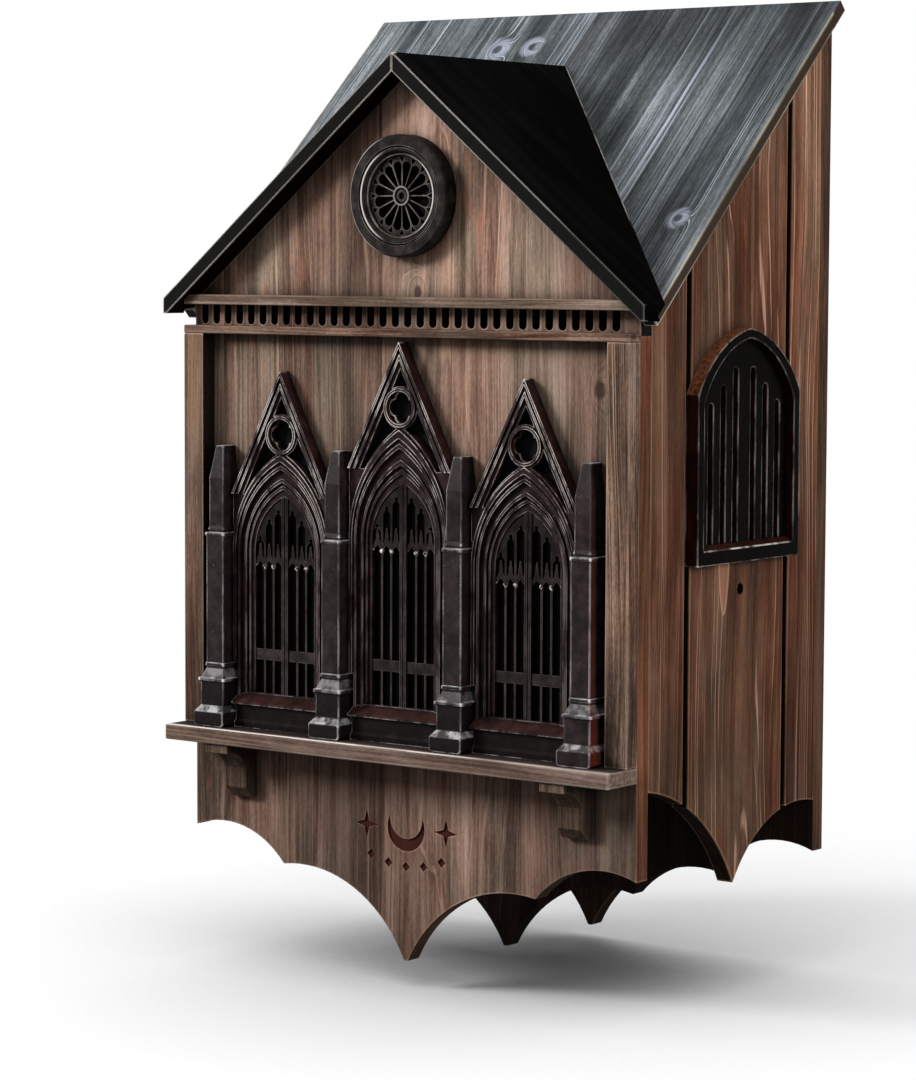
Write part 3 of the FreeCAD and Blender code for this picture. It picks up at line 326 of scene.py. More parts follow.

    # Sawn faces, and painted shade on undersides
    facing = add(tree, "SeparateXYZ", {0: add(tree, "TexCoord", out="Normal")}).node
    if sawn:
        way = add(tree, "Math", {0: facing.outputs[sawn[0]]}, operation="ABSOLUTE")
        way = add(tree, "MapRange", {0: way, 1: 0.9, 2: 0.98, 4: sawn[1]})
        colour = add(tree, "Mix", {0: way, 6: colour, 7: sawn[2]}, out=2, data_type="RGBA")
    below = add(tree, "MapRange", {0: facing.outputs[2], 1: -0.1, 2: -0.4, 4: under})
    colour = add(tree, "Mix", {0: below, 6: colour, 7: "#080503"}, out=2, data_type="RGBA")
    colour = add(tree, "Mix", {0: rubbed, 6: colour, 7: edge}, out=2, data_type="RGBA")

    height = add(tree, "Math", {0: fibre, 1: 0.7, 2: profile}, operation="MULTIPLY_ADD")
    bump = add(tree, "Bump", {"Height": height, "Strength": 0.35, "Distance": 0.0005})
    dull = add(tree, "MapRange", {0: value, 1: 0.2, 2: 0.8, 3: rough + 0.07, 4: rough - 0.07})
    shader = add(tree, "BsdfPrincipled", {"Base Color": colour, "Roughness": dull, "Normal": bump,
                                          "IOR": 1.5, "Specular IOR Level": gloss})
    add(tree, "OutputMaterial", {0: shader})
    return made, tree, colour, shader.node


# Very dark tones for the roost boards: painted shade
unlit = ("#0d0706", "#150d0a", "#1e1411", "#2a1d19", "#3a2a24")
shaded = ("#1c110b", "#2d1d14", "#412e22", "#57402f", "#745743")
inside_wood = stained_fir(
    "stained fir, roost boards", unlit, unlit, (40, 60), along=310, worn=0.3, edge="#3a2d24",
    pale="#2e221a")[0]
plain_brown = ("#2c190f", "#432a1d", "#5c3f2f", "#75543f", "#947059")
back_wood, tree, colour, shader = stained_fir(
    "stained fir, back board", plain_brown, shaded, (-60, 70), along=120, edge="#8e6f58",
    pale="#8a6a54")
# Inside the box the wood is darkened as painted shade, and the sawn sides are darker than the back
facing = add(tree, "SeparateXYZ", {0: add(tree, "TexCoord", out="Normal")}).node
inner = add(tree, "MapRange", {0: facing.outputs[1], 1: -0.5, 2: -0.9, 4: 0.8})
sideways = add(tree, "Math", {0: facing.outputs[0]}, operation="ABSOLUTE")
sideways = add(tree, "MapRange", {0: sideways, 1: 0.6, 2: 0.9, 4: 0.5})
for mask, tint in ((inner, "#0f0a07"), (sideways, "#1c130e")):
    colour = add(tree, "Mix", {0: mask, 6: colour, 7: tint}, out=2, data_type="RGBA")
tree.links.new(colour, shader.inputs["Base Color"])
finish_with("back_board", back_wood)
for name in ("middle_partition", "front_baffle", "rear_baffle"):
    finish_with(name, inside_wood, 0.4)

# ---------------------------------------------------------------- side boards
# Three fir boards stand side by side with open slots between them, stained a redder brown
# than the front. The sawn faces in the slots are painted nearly black, as painted shade.
red_brown = ("#2c150b", "#422316", "#583424", "#714c39", "#93694f")
ash_brown = ("#291b13", "#3e2b20", "#523c2e", "#6a5141", "#856b57")
# Brightness by height, painted light and shade: the rear boards much darker low down and brighter
# towards the roof
side_heights = ((-410, 0.84), (-250, 0.88), (-100, 1.08), (50, 1.3))
rear_heights = ((-410, 0.5), (-300, 0.6), (-150, 1.7), (50, 1.85))
for side, sign in (("right", 1), ("left", -1)):
    for board, heart, ring, bright, heights in (
            ("front", (-14, -192), 4.5, 0.85, side_heights),
            ("middle", (-52, -84), 7.0, 1.0, side_heights),
            ("rear", (-40, 20), 6.0, 1.0, rear_heights)):
        # The faces in the slots are painted nearly black as painted shade
        wood, tree, colour, shader = stained_fir(
            f"stained fir, {side} side {board}", red_brown, ash_brown,
            (sign * (150 + heart[0]), heart[1]), along=heart[1] * 3 + 40 * sign, ring=ring,
            edge="#b08568", pale="#ac8771", lines=0.9, sawn=(1, 0.97, "#080503"), spread=0.85,
            worn=0.9, fine=0.85, reach=0.0015, flush=("#7d4a34", 0.35),
            heights=[(z, level * bright) for z, level in heights])
        if (side, board) == ("right", "middle"):
            # A pale wedge of resin-rich wood below the louvre, widest at its upper end
            wedge_y, tip_z, wide_z, behind_louvre, widest = -0.1045, -0.268, -0.2395, -0.225, 0.006
            place = add(tree, "TexCoord", out="Object")
            _, y, z = add(tree, "SeparateXYZ", {0: place}).node.outputs
            half = add(tree, "MapRange", {0: z, 1: tip_z, 2: wide_z})
            half = add(tree, "Math", {0: half, 1: 0.4}, operation="POWER")
            half = add(tree, "Math", {0: half, 1: widest}, operation="MULTIPLY")
            low = add(tree, "Math", {0: z, 1: behind_louvre}, operation="LESS_THAN")
            half = add(tree, "Math", {0: half, 1: low}, operation="MULTIPLY")
            aside = add(tree, "Math", {0: y, 1: -wedge_y}, operation="ADD")
            aside = add(tree, "Math", {0: aside}, operation="ABSOLUTE")
            within = add(tree, "Math", {0: half, 1: aside}, operation="SUBTRACT")
            wedge = add(tree, "MapRange", {0: within, 1: 0, 2: 0.0007, 4: 0.7})
            core = add(tree, "MapRange", {0: within, 1: 0.0008, 2: 0.0022, 4: 0.9})
            tint = add(tree, "Mix", {0: core, 6: "#c0957a", 7: "#95654d"}, out=2, data_type="RGBA")
            colour = add(tree, "Mix", {0: wedge, 6: colour, 7: tint}, out=2, data_type="RGBA")
            tree.links.new(colour, shader.inputs["Base Color"])
        finish_with(f"{side}_side_{board}_board", wood)

# ---------------------------------------------------------------- front board
# One wide board of glued fir staves, stained taupe, and darker on the apron, partly stain and
# partly the shelf's shadow painted in. It is black behind the window castings, and the motif
# cut into the apron is burnt dark red.
brown = ("#3b2922", "#5b4439", "#795e51", "#947768", "#af9486")
grey_brown = ("#362b23", "#54463b", "#6f5f52", "#8a7667", "#a59282")
# Brightness by height, painted light and shade with some stain: darker on the apron below the
# shelf, brighter on the bars between the slots and towards the top
front_heights = ((-460, 0.5), (-385, 0.66), (-348, 0.6), (-338, 0.95), (-230, 0.95), (-121, 1.0),
                 (-118, 1.8), (-104, 1.8), (-100, 1.32), (20, 1.38))
front_wood, tree, colour, shader = stained_fir(
    "stained fir, front", brown, grey_brown, (30, -60), along=75, ring=5.5, heights=front_heights,
    knots=((125, -185, -147, 3.8), (7, -185, -98, 2.8)), edge="#b08e7a", lines=0.35, stave=47,
    spread=0.85, under=0.75, corner_shade=0.4, flush=("#8a5644", 0.35))
place = add(tree, "TexCoord", out="Object")
x, y, z = add(tree, "SeparateXYZ", {0: place}).node.outputs
aside = add(tree, "Math", {0: x}, operation="ABSOLUTE")
half_box, front_face = 0.15, -0.185
# Painted light and shade from left to right: pale at the left edge and right of the middle, darkest
# just left of the middle
light_across = add(tree, "MapRange", {0: x, 1: -half_box, 2: half_box})
light_across = add(tree, "ValToRGB", {0: light_across}, stops=((0, 1.4), (0.18, 1.3), (0.36, 0.68), (0.5, 1.15),
                                                 (0.66, 1.5), (0.88, 0.8), (1, 0.75)))
colour = add(tree, "Mix", {0: 1.0, 6: colour, 7: light_across}, out=2, data_type="RGBA",
             blend_type="MULTIPLY")
# Black behind the three windows, within the half width that each casting covers. Under
# the raking sides of its gablet that is 3 mm inside the casting's edge.
window_step, half_window, rake, sill_z = 0.0825, 0.030, 0.51, -0.335
painted = None
for window_x, apex_z in ((-window_step, -0.142), (0, -0.1245), (window_step, -0.142)):
    off = add(tree, "Math", {0: x, 1: -window_x})
    off = add(tree, "Math", {0: off}, operation="ABSOLUTE")
    room_here = add(tree, "Math", {0: z, 1: -rake, 2: apex_z * rake - 0.003},
                    operation="MULTIPLY_ADD")
    room_here = add(tree, "Math", {0: room_here, 1: half_window}, operation="MINIMUM")
    here = add(tree, "Math", {0: off, 1: room_here}, operation="LESS_THAN")
    painted = here if painted is None else add(tree, "Math", {0: painted, 1: here},
                                               operation="MAXIMUM")
above_sill = add(tree, "Math", {0: z, 1: sill_z}, operation="GREATER_THAN")
painted = add(tree, "Math", {0: painted, 1: above_sill}, operation="MULTIPLY")
# The slots between the rails are painted black inside, as painted shade
slot_top, slot_foot = -0.103, -0.119
in_slot = add(tree, "Math", {0: y, 1: front_face + 0.0004}, operation="GREATER_THAN")
for edge_z, side_of in ((slot_top, "LESS_THAN"), (slot_foot, "GREATER_THAN")):
    inside = add(tree, "Math", {0: z, 1: edge_z}, operation=side_of)
    in_slot = add(tree, "Math", {0: in_slot, 1: inside}, operation="MULTIPLY")
for mask in (painted, in_slot):
    colour = add(tree, "Mix", {0: mask, 6: colour, 7: "#030202"}, out=2, data_type="RGBA")
# The board's sawn sides took up a redder stain
sideways = add(tree, "SeparateXYZ", {0: add(tree, "TexCoord", out="Normal")})
sideways = add(tree, "Math", {0: sideways}, operation="ABSOLUTE")
end_face = add(tree, "MapRange", {0: sideways, 1: 0.6, 2: 0.9, 4: 0.9})
outermost = add(tree, "Math", {0: aside, 1: half_box - 0.001}, operation="GREATER_THAN")
end_face = add(tree, "Math", {0: end_face, 1: outermost}, operation="MULTIPLY")
reddened = add(tree, "Mix", {0: 1.0, 6: colour, 7: "#f2b795"}, out=2, data_type="RGBA",
               blend_type="MULTIPLY")
colour = add(tree, "Mix", {0: end_face, 6: colour, 7: reddened}, out=2, data_type="RGBA")
# The motif is cut 1 mm into the apron and burnt dark red
motif_top, motif_foot, motif_half = -0.38, -0.46, 0.06
sunk = add(tree, "Math", {0: y, 1: front_face + 0.0001}, operation="GREATER_THAN")
for value, limit, side_of in (
        (z, motif_top, "LESS_THAN"), (z, motif_foot, "GREATER_THAN"),
        (y, front_face + 0.0012, "LESS_THAN"), (aside, motif_half, "LESS_THAN")):
    inside = add(tree, "Math", {0: value, 1: limit}, operation=side_of)
    sunk = add(tree, "Math", {0: sunk, 1: inside}, operation="MULTIPLY")
burn = add(tree, "Mapping", {"Vector": place, "Scale": (1000 / 5, 1000 / 5, 1000 / 60)})
burn = add(tree, "TexNoise", {"Vector": burn, "Scale": 1, "Detail": 3})
burnt = add(tree, "Mix", {0: burn, 6: "#160805", 7: "#4a2018"}, out=2, data_type="RGBA")
colour = add(tree, "Mix", {0: sunk, 6: colour, 7: burnt}, out=2, data_type="RGBA")
tree.links.new(colour, shader.inputs["Base Color"])
finish_with("front_board", front_wood, 0.3)

# ---------------------------------------------------------------- rails, battens, shelf, brackets
# Fir strips glued and bradded on the front. Rails and shelf run across, battens and
# brackets stand with the front board's grain.
across = (0, math.radians(90), 0)
taupe = ("#33271f", "#4a3a30", "#5f4c40", "#776357", "#988477")
umber_brown = ("#3b261c", "#5f4437", "#806354", "#997f70", "#b09688")
upper_wood = stained_fir("stained fir, upper rail", taupe, grey_brown, (200, -160), turn=across,
                         along=20, lines=0.3, edge="#a88c78",
                         heights=((-110, 0.85), (-95, 0.85)))[0]
lower_wood = stained_fir("stained fir, lower rail", umber_brown, taupe, (210, -150), turn=across,
                         along=140, lines=0.2, edge="#a08270")[0]
shelf_wood, tree, colour, shader = stained_fir(
    "stained fir, shelf", ("#33261f", "#4a3931", "#5e4c43", "#725f55", "#8c796e"), taupe,
    (360, -120), turn=across, along=90, edge="#ab9f92", worn=0.7, lines=0.2, corner_shade=0.6, spread=1.1,
    reach=0.0018)
# The shelf's top is darkened behind its front strip, painted shade beside the castings. The
# strip is pale on the left, partly worn and partly a painted highlight
place = add(tree, "TexCoord", out="Object")
x, y, _ = add(tree, "SeparateXYZ", {0: place}).node.outputs
strip_y = -0.2095
sprayed = add(tree, "MapRange", {0: y, 1: strip_y, 2: strip_y + 0.005, 4: 0.85})
lit_worn_strip = add(tree, "MapRange", {0: y, 1: strip_y + 0.0015, 2: strip_y, 4: 0.9})
strip_patch = add(tree, "Mapping", {"Vector": place, "Scale": (1000 / 35, 1000 / 3, 1)})
strip_patch = add(tree, "TexNoise", {"Vector": strip_patch, "Scale": 1, "Detail": 3})
strip_patch = add(tree, "MapRange", {0: strip_patch, 1: 0.36, 2: 0.5, 3: 0.2})
leftward = add(tree, "MapRange", {0: x, 1: 0.02, 2: 0.13, 3: 1, 4: 0.2})
for share in (strip_patch, leftward):
    lit_worn_strip = add(tree, "Math", {0: lit_worn_strip, 1: share}, operation="MULTIPLY")
on_top = add(tree, "SeparateXYZ", {0: add(tree, "TexCoord", out="Normal")}, out=2)
on_top = add(tree, "Math", {0: on_top, 1: 0.5}, operation="GREATER_THAN")
for mask, tint in ((sprayed, "#100c0a"), (lit_worn_strip, "#e2dbd3")):
    mask = add(tree, "Math", {0: mask, 1: on_top}, operation="MULTIPLY")
    colour = add(tree, "Mix", {0: mask, 6: colour, 7: tint}, out=2, data_type="RGBA")
tree.links.new(colour, shader.inputs["Base Color"])
bracket_tones = ("#21170f", "#34271f", "#49392f", "#5f4d42", "#7c695c")
bracket_wood = stained_fir(
    "stained fir, brackets", bracket_tones, bracket_tones, (90, -160), along=33, edge="#85715f",
    lines=0.1, under=0.35, worn=0.5, reach=0.0009)[0]
finish_with("upper_rail", upper_wood)
finish_with("lower_rail", lower_wood)
for side, bright, spread in (("left", 0.56, 1.0), ("right", 0.88, 1.6)):
    batten_wood, tree, colour, shader = stained_fir(
        f"stained fir, {side} batten", ("#35261e", "#4f392e", "#6a4e3e", "#846551", "#a3836c"),
        taupe, (100, -230), along=32, edge="#be9d8d", worn=0.9, lines=0.6, ring=3.0, spread=spread,
        heights=((-340, bright), (-122, bright)))
    # The side that faces the windows is nearly black
    x_here = add(tree, "SeparateXYZ", {0: add(tree, "TexCoord", out="Object")})
    x_turn = add(tree, "SeparateXYZ", {0: add(tree, "TexCoord", out="Normal")})
    inward = add(tree, "Math", {0: x_here, 1: x_turn}, operation="MULTIPLY")
    inward = add(tree, "MapRange", {0: inward, 1: -0.09, 2: -0.12, 4: 0.95})
    colour = add(tree, "Mix", {0: inward, 6: colour, 7: "#080403"}, out=2, data_type="RGBA")
    tree.links.new(colour, shader.inputs["Base Color"])
    finish_with(f"{side}_batten", batten_wood)
finish_with("shelf", shelf_wood, 0.6)
for name in ("left_bracket", "right_bracket"):
    finish_with(name, bracket_wood, 0.4)

# ---------------------------------------------------------------- roofs
# Thin fir boards under black stain. On the steep main roof the weather has worn the stain
# off the hard grain, and its paler grey is partly painted sheen; the gable's boards are
# nearly black, partly as painted shade.
# The main roof's greys are partly painted sheen, the gable's near black partly painted shade
weathered_and_sheen = ("#1b1e20", "#2a2d2f", "#3e4144", "#55595c", "#7b7f85")
faded_black_and_sheen = ("#121415", "#1f2223", "#303435", "#474b4c", "#696e70")
black_and_shade = ("#010101", "#010101", "#020202", "#040404", "#0a0909")
pitch, gable_pitch = math.radians(43), math.radians(50.9)
down_slope = (math.pi / 2 - pitch, 0, 0)
# Height at which the main roof's upper face would meet the wall
roof_at_wall = 0.06505
# Brightness by height on the main roofs, painted sheen: brighter towards the top on the left and
# across the middle on the right
left_heights = ((-100, 1.3), (60, 2.1))
right_heights = ((-120, 1.0), (-100, 1.45), (-50, 1.75), (-10, 2.0), (15, 1.5), (40, 0.9),
                 (62, 0.75))
for side, heart, knots, heights in (
        ("left", (-90, -60), ((-57.6, -27, 40, 3.6), (-33.5, -26, 41, 3)), left_heights),
        ("right", (60, -60), ((137.4, -132.6, -58.6, 2.8),), right_heights)):
    wood, tree, colour, shader = stained_fir(
        f"black stained fir, main roof {side}", weathered_and_sheen, faded_black_and_sheen, heart, turn=down_slope,
        along=60, edge="#d3c8b2", rough=0.6, spread=0.9, pale="#80858f", lines=0.5, ring=6.5,
        gloss=0.05, knots=knots, wander=4, halo="#70757f", heights=heights,
        sawn=(0, 0.95, "#32251a"), corner_shade=0.3, knot_long=1.15, reach=0.0018, worn=1.0, fine=1.25,
        rubbed_to=-0.012)
    # Stain is still dark in the joint between the two boards
    joint = add(tree, "SeparateXYZ", {0: add(tree, "TexCoord", out="Object")})
    joint = add(tree, "Math", {0: joint}, operation="ABSOLUTE")
    joint = add(tree, "MapRange", {0: joint, 1: 0.0022, 2: 0.0016, 4: 0.9})
    colour = add(tree, "Mix", {0: joint, 6: colour, 7: "#34373a"}, out=2, data_type="RGBA")
    tree.links.new(colour, shader.inputs["Base Color"])
    finish_with(f"main_roof_{side}", wood, 0.4)
    steep = gable_pitch if side == "right" else -gable_pitch
    wood, tree, colour, shader = stained_fir(
        f"black stained fir, gable {side}", black_and_shade, black_and_shade, (40, 30), along=80, turn=(0, steep, 0),
        edge="#cdc4ba", rough=0.75, pale="#121110", gloss=0.005, worn=1.0,
        sawn=(1, 0.85, "#191918"), rubbed_to=-0.196, reach=0.0012)
    # The upper part of its edge in the valley is rubbed pale along the main roof's face
    place = add(tree, "TexCoord", out="Object")
    x, y, z = add(tree, "SeparateXYZ", {0: place}).node.outputs
    over_roof = add(tree, "Math", {0: z, 1: -roof_at_wall}, operation="ADD")
    over_roof = add(tree, "Math", {0: y, 1: -math.tan(pitch), 2: over_roof},
                    operation="MULTIPLY_ADD")
    valley = add(tree, "MapRange", {0: over_roof, 1: 0.0016, 2: 0.0008, 4: 0.8})
    out_from_ridge = add(tree, "Math", {0: x}, operation="ABSOLUTE")
    upper = add(tree, "MapRange", {0: out_from_ridge, 1: 0.115, 2: 0.1})
    wear = add(tree, "TexNoise", {"Vector": place, "Scale": 1000 / 14, "Detail": 3})
    wear = add(tree, "MapRange", {0: wear, 1: 0.38, 2: 0.5, 3: 0.2})
    for share in (upper, wear):
        valley = add(tree, "Math", {0: valley, 1: share}, operation="MULTIPLY")
    colour = add(tree, "Mix", {0: valley, 6: colour, 7: "#aaa69e"}, out=2, data_type="RGBA")
    tree.links.new(colour, shader.inputs["Base Color"])
    finish_with(f"gable_roof_{side}", wood, 0.4)


# ---------------------------------------------------------------- window castings
# Polyurethane castings sprayed black over a rust-red undercoat, rubbed back on their sides
# and sills, and dry-brushed off-white along the ribs.
def cast_resin(name, black, rust, bare_faces, brushed, rough, gloss=0.05, reach=0.001, lumps=0.4,
               cover=0.9, least=0.15, dusty=0.0, hollow_shade_reach=0.004, depth=(-0.186, -0.1861),
               lowest=-1.0, jambs=None, dotted=0.35):
    """Painted casting.

    black is three tones of the spray, rust two of the undercoat and brushed the dry brush's
    colour. bare_faces is how far faces turned along X, along Y and upward show the undercoat,
    depth where along Y that starts and is full, and lowest where along Z it ends. reach is
    how far in metres from an edge the dry brush is felt, least and cover how much of the
    edges it touched, dusty how much of the faces turned up, dotted how plain its loose dots
    are, and jambs the height below which it hardly touched the edges. The painted shade in
    the hollows reaches hollow_shade_reach metres out, and lumps is how rough the spray lies."""
    made, tree = blank(name)
    place = add(tree, "TexCoord", out="Object")
    mottle = add(tree, "TexNoise", {"Vector": place, "Scale": 1000 / 7, "Detail": 4,
                                    "Roughness": 0.6})
    specks = add(tree, "TexNoise", {"Vector": place, "Scale": 1000 / 1.1, "Detail": 3,
                                    "Roughness": 0.7})
    patches = add(tree, "Mapping", {"Vector": place, "Scale": (1000 / 9, 1000 / 9, 1000 / 30)})
    patches = add(tree, "TexNoise", {"Vector": patches, "Scale": 1, "Detail": 3, "Roughness": 0.65})
    spray = add(tree, "ValToRGB", {0: mottle}, stops=zip((0.3, 0.5, 0.7), black))

    # Undercoat on faces turned sideways or up
    here = add(tree, "SeparateXYZ", {0: place}).node
    turned = add(tree, "SeparateXYZ", {0: add(tree, "TexCoord", out="Normal")}).node
    bare = None
    for axis, share in enumerate(bare_faces):
        way = turned.outputs[axis]
        if axis < 2:
            way = add(tree, "Math", {0: way}, operation="ABSOLUTE")
        shows = add(tree, "MapRange", {0: way, 1: 0.35, 2: 0.8, 4: share})
        bare = shows if bare is None else add(tree, "Math", {0: bare, 1: shows},
                                              operation="MAXIMUM")
    rubbed = add(tree, "MapRange", {0: patches, 1: 0.4, 2: 0.6, 3: 0.35})
    reached = add(tree, "MapRange", {0: here.outputs[1], 1: depth[0], 2: depth[1]})
    higher = add(tree, "Math", {0: here.outputs[2], 1: lowest}, operation="GREATER_THAN")
    for share in (rubbed, reached, higher):
        bare = add(tree, "Math", {0: bare, 1: share}, operation="MULTIPLY")
    undercoat = add(tree, "Mix", {0: specks, 6: rust[0], 7: rust[1]}, out=2, data_type="RGBA")
    colour = add(tree, "Mix", {0: bare, 6: spray, 7: undercoat}, out=2, data_type="RGBA")
    if lowest > -1:
        lower = add(tree, "Math", {0: here.outputs[2], 1: lowest}, operation="LESS_THAN")
        lower = add(tree, "Math", {0: lower, 1: 0.75}, operation="MULTIPLY")
        colour = add(tree, "Mix", {0: lower, 6: colour, 7: "#0c0a0a"}, out=2, data_type="RGBA")

    # Painted shade in the hollows
    hollow = add(tree, "AmbientOcclusion", {"Distance": hollow_shade_reach}, out="AO", samples=8)
    hollow = add(tree, "MapRange", {0: hollow, 1: 0.3, 2: 0.85, 3: 0.9, 4: 0})
    colour = add(tree, "Mix", {0: hollow, 6: colour, 7: "#020101"}, out=2, data_type="RGBA")

    # Dry brush along the edges
    near_edge = add(tree, "AmbientOcclusion", {"Distance": reach}, out="AO", inside=True,
                    only_local=True, samples=12)
    ridge = add(tree, "MapRange", {0: near_edge, 1: 0.8, 2: 0.55}, interpolation_type="SMOOTHSTEP")
    touched = add(tree, "MapRange", {0: patches, 1: 0.42, 2: 0.62, 3: least, 4: cover},
                  interpolation_type="SMOOTHSTEP")
    broken = add(tree, "MapRange", {0: specks, 1: 0.4, 2: 0.54, 3: 0.85})
    for share in (touched, reached, broken):
        ridge = add(tree, "Math", {0: ridge, 1: share}, operation="MULTIPLY")
    dots = add(tree, "MapRange", {0: specks, 1: 0.7, 2: 0.75, 4: dotted * cover})
    dots = add(tree, "Math", {0: dots, 1: reached}, operation="MULTIPLY")
    ridge = add(tree, "Math", {0: ridge, 1: dots}, operation="MAXIMUM")
    if jambs:
        spared = add(tree, "MapRange", {0: here.outputs[2], 1: jambs - 0.02, 2: jambs + 0.015,
                                        3: 0.4})
        ridge = add(tree, "Math", {0: ridge, 1: spared}, operation="MULTIPLY")
    if dusty:
        dusted = add(tree, "MapRange", {0: turned.outputs[2], 1: 0.25, 2: 0.7, 4: dusty})
        grainy = add(tree, "MapRange", {0: mottle, 1: 0.42, 2: 0.6, 3: 0.1})
        dusted = add(tree, "Math", {0: dusted, 1: grainy}, operation="MULTIPLY")
        ridge = add(tree, "Math", {0: ridge, 1: dusted}, operation="MAXIMUM")
    colour = add(tree, "Mix", {0: ridge, 6: colour, 7: brushed}, out=2, data_type="RGBA")

    height = add(tree, "Math", {0: specks, 1: 0.35, 2: mottle}, operation="MULTIPLY_ADD")
    bump = add(tree, "Bump", {"Height": height, "Strength": lumps, "Distance": 0.0006})
    sheen = add(tree, "MapRange", {0: mottle, 1: 0.3, 2: 0.7, 3: rough - 0.08, 4: rough + 0.1})
    shader = add(tree, "BsdfPrincipled", {"Base Color": colour, "Roughness": sheen, "Normal": bump,
                                          "IOR": 1.49, "Specular IOR Level": gloss})
    add(tree, "OutputMaterial", {0: shader})
    return made, tree, colour, shader.node


charcoal = ("#181213", "#241c1d", "#312728")
umber = ("#130b0b", "#211616", "#342424")
window_resin = cast_resin(
    "sprayed resin, windows", umber, ("#1e0d0a", "#4c281b"), (0.75, 0, 0.42), "#e6dcd5", 0.42,
    depth=(-0.1865, -0.193), lowest=-0.3265, reach=0.0009, least=0.06, cover=1.0, jambs=-0.225)[0]
grille_resin, tree, colour, shader = cast_resin(
    "sprayed resin, grilles", ("#1d1919", "#2b2626", "#3c3535"), ("#040202", "#0c0606"),
    (0.95, 0, 0.3), "#8c7e78", 0.5, reach=0.0005, cover=0.5, hollow_shade_reach=0.002, gloss=0.01)
place = add(tree, "TexCoord", out="Object")
x, y, z = add(tree, "SeparateXYZ", {0: place}).node.outputs
# Height above the points of the fringe, which stand 13 mm higher in the middle window
points_z, middle_lift, half_mullion = -0.2502, 0.013, 0.003
in_middle = add(tree, "Math", {0: x}, operation="ABSOLUTE")
in_middle = add(tree, "Math", {0: in_middle, 1: half_window}, operation="LESS_THAN")
over_points = add(tree, "Math", {0: z, 1: -points_z}, operation="ADD")
over_points = add(tree, "Math", {0: in_middle, 1: -middle_lift, 2: over_points},
                  operation="MULTIPLY_ADD")
beside = add(tree, "Math", {0: x, 1: window_step / 2}, operation="PINGPONG")
off_mullion = add(tree, "Math", {0: beside, 1: half_mullion}, operation="GREATER_THAN")
# Painted shade above the points, a darker band across them, and grit on their tips
grit = add(tree, "TexNoise", {"Vector": place, "Scale": 1000 / 1.6, "Detail": 2})
grit = add(tree, "MapRange", {0: grit, 1: 0.42, 2: 0.56})
grit = add(tree, "Math", {0: grit, 1: off_mullion}, operation="MULTIPLY")
for low, high, blend, share, tint, where in (
        (0.0135, 1.0, 0.003, 0.5, "#0c0a0a", 1.0),
        (-0.0008, 0.011, 0.002, 0.3, "#1a1414", off_mullion),
        (-0.0013, 0.0008, 0.0004, 0.95, "#d9d0cb", grit)):
    band = add(tree, "MapRange", {0: over_points, 1: low - blend, 2: low, 4: share})
    under = add(tree, "MapRange", {0: over_points, 1: high, 2: high + blend, 3: 1, 4: 0})
    for limit in (under, where):
        band = add(tree, "Math", {0: band, 1: limit}, operation="MULTIPLY")
    colour = add(tree, "Mix", {0: band, 6: colour, 7: tint}, out=2, data_type="RGBA")
# The backing behind the bars is plain black
behind_bars = -0.1872
backing = add(tree, "MapRange", {0: y, 1: behind_bars, 2: behind_bars + 0.0008})
colour = add(tree, "Mix", {0: backing, 6: colour, 7: "#010101"}, out=2, data_type="RGBA")
tree.links.new(colour, shader.inputs["Base Color"])
for name in ("left", "centre", "right"):
    finish_with(f"{name}_lancet_frame", window_resin, 0)
    finish_with(f"{name}_lancet_grille", grille_resin, 0)
for name, rust, share in (("far_left", "#1d0c09", 0.5), ("left", "#1d0c09", 0.5),
                          ("right", "#2a100b", 0.6), ("far_right", "#702a14", 0.84)):
    resin = cast_resin(f"sprayed resin, {name} pilaster", charcoal, ("#0c0504", rust),
                       (share, 0, 0), "#e0dedf", 0.42, reach=0.0016, least=0.14, cover=1.0,
                       dusty=0.45, depth=(-0.192, -0.200),
                       lowest=-1.0 if name == "far_right" else -0.3135)[0]
    finish_with(f"pilaster_{name}", resin, 0.4)

# ---------------------------------------------------------------- rose window
# The same resin cast as a round frame with spokes. Its beads carry thin painted highlights
# on the left and the right, and its hub a faint one all round.
rose_resin, tree, colour, shader = cast_resin(
    "sprayed resin, rose window", ("#141110", "#24201e", "#38332f"), ("#1c120d", "#33231a"),
    (0, 0, 0.3), "#a59d96", 0.45, cover=0.42, least=0.1, reach=0.0009, gloss=0.02)
rose_z, pane_r, pane_y = -0.047, 0.0217, -0.1899
place = add(tree, "TexCoord", out="Object")
place = add(tree, "Mapping", {"Vector": place, "Location": (0, 0, -rose_z)})
x, y, z = add(tree, "SeparateXYZ", {0: place}).node.outputs
flat_place = add(tree, "CombineXYZ", {0: x, 2: z})
off_axis = add(tree, "VectorMath", {0: flat_place}, out=1, operation="LENGTH")
# Thin painted highlights along the beads and the hub
for ring_r, width, way, share in (
        (0.0250, 0.0006, -1, 0.8), (0.0221, 0.0005, 1, 0.9), (0.0320, 0.0005, -1, 0.5),
        (0.0048, 0.0005, 0, 0.3)):
    aside = add(tree, "Math", {0: off_axis, 1: -ring_r}, operation="ADD")
    aside = add(tree, "Math", {0: aside}, operation="ABSOLUTE")
    mask = add(tree, "MapRange", {0: aside, 1: width, 2: width / 3, 4: share},
               interpolation_type="SMOOTHSTEP")
    if way:
        leaning = add(tree, "MapRange", {0: x, 1: way * 0.008, 2: way * 0.02},
                      interpolation_type="SMOOTHSTEP")
        mask = add(tree, "Math", {0: mask, 1: leaning}, operation="MULTIPLY")
    colour = add(tree, "Mix", {0: mask, 6: colour, 7: "#d5cec8"}, out=2, data_type="RGBA")
# The pane between the spokes is plain black
pane = add(tree, "MapRange", {0: y, 1: pane_y, 2: pane_y + 0.0005})
within = add(tree, "Math", {0: off_axis, 1: pane_r}, operation="LESS_THAN")
pane = add(tree, "Math", {0: pane, 1: within}, operation="MULTIPLY")
colour = add(tree, "Mix", {0: pane, 6: colour, 7: "#010101"}, out=2, data_type="RGBA")
tree.links.new(colour, shader.inputs["Base Color"])
finish_with("rose_window", rose_resin, 0)

